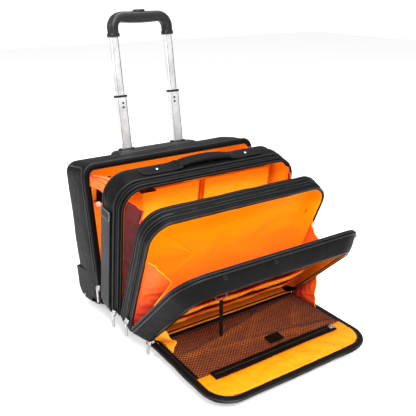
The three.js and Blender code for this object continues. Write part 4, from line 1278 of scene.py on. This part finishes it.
# ---------------------------------------------------------------- side gussets
def half_at(dims, inset, z):
    """Half width of a section's outline at height z."""
    half, bottom, top, top_radius, bottom_radius = dims
    upper, lower = max(top_radius - inset, 3.0), max(bottom_radius - inset, 3.0)
    rise = min(upper, max(0.0, z - (top - inset - upper)))
    fall = min(lower, max(0.0, bottom + inset + lower - z))
    return (half - inset - upper + math.sqrt(upper * upper - rise * rise)
            - lower + math.sqrt(lower * lower - fall * fall))


TUCK = 0.45


def gusset(name, back, front, hinge_joint, bodies, side, dims, insets, rear_y, low, tops, inward, crest=0.5,
           roll=0.0, replaced=(), colour="gusset", hem="amber", crest_hem=None, seed=0.0, rim_hem=False):
    """Folding side wall: it turns about the hinge from one section to the next and folds inwards at its crest.

    tops is the height of the free edge as (share of the way across, z) pairs.
    """
    hinge = Vector(JOINT[hinge_joint]["pos_m"])
    swing = math.radians(JOINT[hinge_joint]["range_deg"][1])
    start = back.matrix.inverted() @ hinge
    steps, tall = 24, 40
    shares, heights = [t[0] for t in tops], [t[1] for t in tops]
    lip = [(0.0, 0.0), (0.35, 2.0), (0.8, 1.2), (1.0, -4.0), (0.9, -12.0)] if roll else [(0.0, 0.0)]
    rows = []

    def point(u, z, v, extra=0.0):
        y0, z0 = rear_y - start.y, z - start.z
        turn = swing * (0.02 + 0.94 * u)
        y = start.y + y0 * (1 - u) - z0 * math.sin(turn)
        up = start.z + z0 * math.cos(turn)
        valley = u / crest if u < crest else (1 - u) / (1 - crest)
        fold = inward * (0.10 + 0.90 * v ** 0.8) * max(0.0, valley) ** 0.85
        width = half_at(dims[0], insets[0], z) * (1 - u) + half_at(dims[1], insets[1], z) * u
        return side * (width - fold - extra), y, up

    for r in range(tall + 1):
        v = r / tall
        line = []
        for i in range(steps + 1):
            u = i / steps
            top = float(np.interp(u, shares, heights))
            line.append(point(u, low + (top - low) * v, v))
        rows.append(line)
    for out, rise in lip[1:]:
        line = []
        for i in range(steps + 1):
            u = i / steps
            top = float(np.interp(u, shares, heights))
            ease = math.sin(math.pi * min(1.0, max(0.0, u))) ** 0.5
            line.append(point(u, top + rise * ease, 1.0, roll * out * ease))
        rows.append(line)
    verts, faces = sheet(rows)
    width = steps + 1
    pinned = held_grid(width)
    free = {tuple(round(c, 3) for c in p): 1.0 - pinned(k) for k, p in enumerate(verts)}
    obj = build(name, verts, faces, back, colour, None, thick=0.8, closed=False,
                waves=[(1.6, 38, 2.0 + seed), (0.7, 15, 6.0 + seed)],
                mask=lambda p: free.get(tuple(round(c, 3) for c in p), 1.0), replaces=replaced,
                cloth={"held": pinned, "grow": 0.035, "cap": 4.0, "bending": 0.25,
                       "by_index": True})
    local = back.matrix.inverted()
    settled = [local @ v.co for v in obj.data.vertices]

    def along(row):
        return [tuple(settled[row * width + i]) for i in range(width)]
    trims = [cord([(x, y, z + 0.5) for x, y, z in along(tall)], 1.25, 6)]
    if rim_hem:
        trims.append(cord([tuple(settled[r * width + 1]) for r in range(2, tall + 1, 2)], 1.5, 6))
    pieces = [obj]
    hv, hf = [], []
    if crest_hem:
        column = round(crest * steps)
        trims.append(cord([tuple(settled[r * width + column]) for r in range(int(crest_hem * tall), tall + 1)],
                          1.3, 6))
    for v, f in trims:
        base = len(hv)
        hv += [tuple(p) for p in v]
        hf += [tuple(i + base for i in face) for face in f]
    pieces.append(build(name + "_hem", hv, hf, back, hem, None))
    middle = rows[int(tall * 0.7)]
    a, b = back.matrix @ Vector(middle[0]), back.matrix @ Vector(middle[-1])
    for piece in pieces:
        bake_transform(piece, bodies[0], bodies[1], start=tuple(a), end=tuple(a + (b - a) * TUCK))


def held_grid(width):
    """Pins a gusset's two sewn sides and its foot, by place in the grid."""
    def held(index):
        r, i = divmod(index, width)
        return max(0.0, 1 - min(i, width - 1 - i) / 2.5, 1 - r / 4)
    return held


for side, label in ((-1, "left"), (1, "right")):
    gusset(f"shell_gusset_{label}", S, F, "file_section_fold", ("rear_shell", "file_section"), side,
           (SHELL, FILE), (8.5, 6), -108, 254, ((0, 276), (0.3, 270), (0.6, 263), (1, 270)), 34, 0.6, roll=13,
           replaced=(f"gusset_shell_{label}",), colour="gusset", hem="trim", seed=1.0 + side)
    # The file gussets take the shade material: painted shade.
    gusset(f"file_gusset_{label}", F, D, "document_section_fold", ("file_section", "document_section"), side,
           (FILE, DOCUMENT), (9.5, 8.5), -75, 16, ((0, 272), (0.5, 262), (1, 248)), 26, 0.5,
           replaced=(f"gusset_file_{label}",), colour="shade", hem="trim", crest_hem=0.1, seed=4.0 + side)
gusset("document_gusset_left", D, O, "organiser_fold", ("document_section", "organiser"), -1,
       (DOCUMENT, ORGANISER), (9.5, 9), -42, 26,
       ((0, 205), (0.25, 190), (0.49, 172), (0.53, 142), (0.75, 122), (1, 104)), 46, 0.5,
       replaced=("gusset_document_left",), crest_hem=0.72, seed=7.0)
gusset("document_gusset_right", D, O, "organiser_fold", ("document_section", "organiser"), 1,
       (DOCUMENT, ORGANISER), (8.0, 11), -42, 28, ((0, 192), (0.5, 178), (1, 172)), 14, 0.35,
       replaced=("gusset_document_right",), seed=9.0)
gusset("flap_gusset_left", O, P, "front_flap_fold", ("organiser", "front_flap"), -1,
       (POCKET_RIM, FLAP), (9, 17), -37, 24, ((0, 92), (0.5, 70), (1, 78)), 20, 0.6, colour="amber", seed=11.0)
gusset("flap_gusset_right", O, P, "front_flap_fold", ("organiser", "front_flap"), 1,
       (POCKET_RIM, FLAP), (9, 17), -37, 24, ((0, 120), (0.5, 108), (1, 104)), 12, 0.5, seed=13.0)

# The rest of the shell's folding sides hangs flat against its walls.
for side, label in ((-1, "left"), (1, "right")):
    rows = [[(side * (half_at(SHELL, 11.0, z) - 5.0 * math.sin(math.pi * u) * (0.6 + 0.4 * math.sin(z / 17))),
              -104 + 52 * u, z) for u in np.linspace(0, 1, 12)] for z in np.linspace(20, 262, 61)]
    verts, faces = sheet(rows)
    build(f"shell_fold_{label}", verts, faces, S, "gusset", "rear_shell", thick=0.8, closed=False,
          waves=[(0.9, 30, 3.0 + side)])


def hinge_cloth(name, back, front, hinge_joint, bodies, half, points_back, points_front):
    """Strip of cloth that joins the foot of one section to the next: (y, z) pairs in each section."""
    local = back.matrix.inverted()
    path = [(y, z) for y, z in points_back]
    for y, z in points_front:
        p = local @ front.at(0, y, z)
        path.append((p.y, p.z))
    path = resample(path, 3.0)
    rows = [[(half * u, y, z) for u in np.linspace(-1, 1, 41)] for y, z in path]
    verts, faces = sheet(rows)
    obj = build(name, verts, faces, back, "binding", None, thick=1.6, closed=False, waves=[(0.5, 30, half)])
    a, b = back.at(0, *path[0]), back.at(0, *path[-1])
    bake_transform(obj, bodies[0], bodies[1], start=tuple(a + (b - a) * 0.2), end=tuple(b - (b - a) * 0.2))


hinge_cloth("shell_hinge_cloth", S, F, "file_section_fold", ("rear_shell", "file_section"), 196,
            [(-104, -7.5), (-111, -7)], [(-1, -3.5), (-6, -5)])
hinge_cloth("file_hinge_cloth", F, D, "document_section_fold", ("file_section", "document_section"), 190,
            [(-68, -2), (-75, -1)], [(-1, -2), (-6, -2.6)])
hinge_cloth("document_hinge_cloth", D, O, "organiser_fold", ("document_section", "organiser"), 186,
            [(-36, -1), (-42, 2)], [(-1, 1), (-6, 0)])
hinge_cloth("flap_hinge_cloth", O, P, "front_flap_fold", ("organiser", "front_flap"), 180,
            [(-30, 17), (-37, 19.5)], [(-5, 5), (-6, 12)])

# ---------------------------------------------------------------- zip sliders, pulls and the key ring
def slider(name, section, x, y, z, tilt_angle, body, pull_body, replaced, length=34.0, side=-1, rest=None,
           spin=0.0):
    """Slider on the teeth, from which zip_set hangs the long pull. tilt_angle is not used."""
    body_parts = [stacked([(5, 8.4, 2, 0, 0, -6.5), (6.2, 10.5, 2.6, 0, 0, -3), (6.2, 12, 2.8, 0, 0, 3),
                           (5, 11, 2.4, 0, 0, 6.5)])]
    bridge = [(side * 2.8, 0, -5), (side * 5.2, 0, -4), (side * 5.6, 0, 0), (side * 5.2, 0, 4), (side * 2.8, 0, 5)]
    body_parts.append(cord(resample(bridge, 1.2), 1.1, 8))
    frame_matrix = Matrix.Rotation(spin, 4, "Y") if spin else Matrix.Identity(4)
    parts = []
    for v, f in body_parts:
        parts.append(([tuple(Vector((x, y, z)) + (frame_matrix @ Vector(p))) for p in v], f))
    join(name + "_slider", parts, section, "gunmetal", body)
    return name


def pull_mesh(length, width=7.4, thick=2.8):
    """Long rounded tab with an eye at its top, hanging down -z from the origin, flat in y and z."""
    outer = []
    for i in range(13):
        a = math.pi * i / 12
        outer.append((width / 2 * math.cos(a), -width / 2 + 1 + width / 2 * math.sin(a)))
    for i in range(13):
        a = math.pi + math.pi * i / 12
        outer.append((width / 2 * math.cos(a), -length + width / 2 + width / 2 * math.sin(a)))
    layers = ((-thick / 2, 0.82), (-thick / 2 + 0.5, 1.0), (thick / 2 - 0.5, 1.0), (thick / 2, 0.82))
    rings = []
    for x, k in layers:
        rings.append([(x, y * k, -length / 2 + (z + length / 2) * (1 - (1 - k) * 0.2)) for y, z in outer])
    count = len(outer)
    verts = [p for r in rings for p in r]
    faces = []
    for row in range(3):
        for i in range(count):
            j = (i + 1) % count
            faces.append((row * count + i, row * count + j, (row + 1) * count + j, (row + 1) * count + i))
    faces.append(tuple(range(count))[::-1])
    faces.append(tuple(3 * count + i for i in range(count)))
    groove = [(-thick / 2 - 0.1, 0.0, z) for z in np.linspace(-length + 8, -length * 0.45, 6)]
    groove2 = [(thick / 2 + 0.1, 0.0, z) for z in np.linspace(-length + 8, -length * 0.45, 6)]
    eye = [(0, 2.0 * math.cos(TAU * i / 14), 1.2 + 2.6 * math.sin(TAU * i / 14)) for i in range(14)]
    return [(verts, faces), cord(groove, 0.7, 6), cord(groove2, 0.7, 6), cord(eye, 0.9, 8, closed=True)]


def zip_set(name, section, x, y, z, length, angle, slider_body, cad, pull_body, spin=None):
    slider(name, section, x + 3.4, y, z, 0.0, slider_body, pull_body, None)
    parts = []
    rotation = Matrix.Rotation(-angle, 4, "X")
    for v, f in pull_mesh(length):
        parts.append(([tuple(Vector((x, y, z)) + rotation @ Vector(p)) for p in v], f))
    join(name + "_pull", parts, section, "gunmetal", pull_body, replaces=(cad,))


zip_set("shell_zip_end", S, -220.6, -109, 30, 34, S.angle, "rear_shell", "zip_pull_shell", "shell_pull")
zip_set("file_zip_end", F, -220.3, -62, 10, 34, F.angle, "file_section", "zip_pull_file", "file_pull")
zip_set("document_zip_end", D, -220, -34, 32, 34, D.angle, "document_section", "zip_pull_document", "document_pull")
zip_set("flap_zip_end", P, -197, 2, 3, 25, P.angle, "front_flap", "zip_pull_flap", "flap_pull")
net_turn = Matrix.Rotation(math.pi / 2, 4, "Z") @ Matrix.Rotation(math.radians(60), 4, "Y")
parts = [([tuple(Vector((144, 6.6, 160)) + net_turn @ Vector(p)) for p in v], f) for v, f in pull_mesh(34)]
join("net_zip_pull", parts, P, "gunmetal", "mesh_pull", replaces=("zip_pull_mesh",))
body_part = stacked([(8.4, 5, 2, 0, 0, -6.5), (10.5, 6.2, 2.6, 0, 0, -3), (12, 6.2, 2.8, 0, 0, 3),
                     (11, 5, 2.4, 0, 0, 6.5)])
turned = [(144 + z, 5.4 + y, 163 + x) for x, y, z in body_part[0]]
build("net_zip_slider", turned, body_part[1], P, "gunmetal", "front_flap")

low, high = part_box("key_ring")
ring_centre = (low + high) / 2
low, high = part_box("key_strap")
fob = []
for i in range(24):
    t = i / 23
    fob.append((ring_centre.x / MM, ring_centre.y / MM, high.z / MM + 2 - (high.z - low.z + 0.002) / MM * t))
shapes = []
for i in range(24):
    t = i / 23
    wide = 7.6 if 0.04 < t < 0.96 else 5.0
    thick = 3.0 + 1.6 * (math.exp(-((t - 0.06) / 0.05) ** 2) + math.exp(-((t - 0.3) / 0.03) ** 2))
    shapes.append(rounded_box(wide, thick, 1.2, 3))
verts, faces = sweep(fob, np.tile((1.0, 0, 0), (24, 1)), np.tile((0, 1.0, 0), (24, 1)), shapes)
build("key_fob", verts, faces, WORLD, "binding", "key_clip", replaces=("key_strap",))

# ---------------------------------------------------------------- corner guards, softened where they meet the cloth
for side, label in ((-1, "left"), (1, "right")):
    node = frame["nodes"][f"corner_guard_{label}"]
    soft = node.data.copy()
    soft.name = f"guard_shell_{label}"
    soft.transform(node.matrix_world)
    soft.transform(S.matrix.inverted())
    for v in soft.vertices:
        v.co.x = side * min(abs(v.co.x), SHELL[0] + 1.8)
        v.co.y = min(v.co.y, 0.6)
    for name in [a.name for a in soft.attributes if a.name == "at"]:
        soft.attributes.remove(soft.attributes[name])
    place(f"guard_shell_{label}", soft, S, "guard", "rear_shell", bevel=5.0, smooth=True,
          replaces=(f"corner_guard_{label}",))

# ---------------------------------------------------------------- CAD pieces that stay
STAY = {
    "axle_left": "gunmetal", "axle_right": "gunmetal", "wheel_hub_left": "plastic", "wheel_hub_right": "plastic",
    "wheel_tyre_left": "rubber", "wheel_tyre_right": "rubber", "handle_channel_left": "plastic",
    "handle_channel_right": "plastic", "handle_base_bracket": "plastic", "pocket_knob": "knob",
    "lower_tube_left": "aluminium", "lower_tube_right": "aluminium", "tube_collar_left": "plastic",
    "tube_collar_right": "plastic", "upper_tube_left": "aluminium", "upper_tube_right": "aluminium",
    "grip_button": "grip", "handle_rivet_left": "chrome", "handle_rivet_right": "chrome",
    "foot_left": "rubber", "foot_right": "rubber", "key_ring": "dark_metal"}
for node, material in STAY.items():
    obj = frame["nodes"][node]
    mesh = obj.data
    attribute = mesh.attributes.new("at", "FLOAT_VECTOR", "POINT")
    flat = np.zeros(len(mesh.vertices) * 3, np.float32)
    mesh.vertices.foreach_get("co", flat)
    attribute.data.foreach_set("vector", flat / MM)
    for k in range(len(obj.material_slots)):
        obj.material_slots[k].material = MAT[material]
    if node.startswith(("tube_collar", "foot", "grip_button", "handle_base")):
        rounding = obj.modifiers.new("edges", "BEVEL")
        rounding.width = MM
        rounding.segments = 3
        rounding.limit_method = "ANGLE"
        rounding.angle_limit = math.radians(40)

# ---------------------------------------------------------------- floor, light and camera
floor_mesh = bpy.data.meshes.new("floor")
floor_mesh.from_pydata([(-6, -6, 0), (6, -6, 0), (6, 6, 0), (-6, 6, 0)], [], [(0, 1, 2, 3)])
n = Nodes("floor")
shader = n.add("ShaderNodeBsdfPrincipled", {"Base Color": (0.93, 0.93, 0.93, 1), "Roughness": 0.9,
                                            "Specular IOR Level": 0.1, "Emission Color": (1, 1, 1, 1)})
glow = n.add("ShaderNodeMath", {0: n.add("ShaderNodeLightPath").outputs["Is Camera Ray"], 1: 0.42},
             operation="MULTIPLY")
n.tree.links.new(glow.outputs[0], shader.inputs["Emission Strength"])
n.add("ShaderNodeOutputMaterial", {0: shader.outputs[0]})
floor_mesh.materials.append(n.material)
floor = bpy.data.objects.new("floor", floor_mesh)
bpy.context.scene.collection.objects.link(floor)
floor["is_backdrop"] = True

world = bpy.data.worlds.new("studio")
bpy.context.scene.world = world
world.use_nodes = True
sky = world.node_tree
seen = sky.nodes.new("ShaderNodeLightPath").outputs["Is Camera Ray"]
strength = sky.nodes.new("ShaderNodeMapRange")
sky.links.new(seen, strength.inputs[0])
strength.inputs[3].default_value = 0.55
strength.inputs[4].default_value = 1.3
sky.nodes["Background"].inputs[0].default_value = (1, 1, 1, 1)
sky.links.new(strength.outputs[0], sky.nodes["Background"].inputs[1])


def area_light(name, position, target, size, power, color=(1, 1, 1)):
    data = bpy.data.lights.new(name, "AREA")
    data.size = size
    data.energy = power
    data.color = color
    lamp = bpy.data.objects.new(name, data)
    bpy.context.scene.collection.objects.link(lamp)
    lamp.location = position
    lamp.rotation_euler = (Vector(target) - Vector(position)).to_track_quat("-Z", "Y").to_euler()


area_light("key", (-0.5, -1.7, 1.9), (0, 0, 0.2), 0.9, 74)
area_light("top", (0.2, 0.1, 2.2), (0, 0, 0.2), 1.0, 44)
area_light("rim", (-1.7, 0.8, 1.2), (0, 0, 0.3), 0.8, 16)

camera_data = bpy.data.cameras.new("camera")
camera_data.sensor_width = 36
camera_data.lens = 52.26
camera = bpy.data.objects.new("camera", camera_data)
bpy.context.scene.collection.objects.link(camera)
camera.location = (-0.6698, -0.9803, 0.6967)
camera.rotation_euler = (math.radians(90 - 20.54), 0, math.radians(-34))
bpy.context.scene.camera = camera
bpy.context.scene.view_settings.view_transform = "Standard"

low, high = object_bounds()
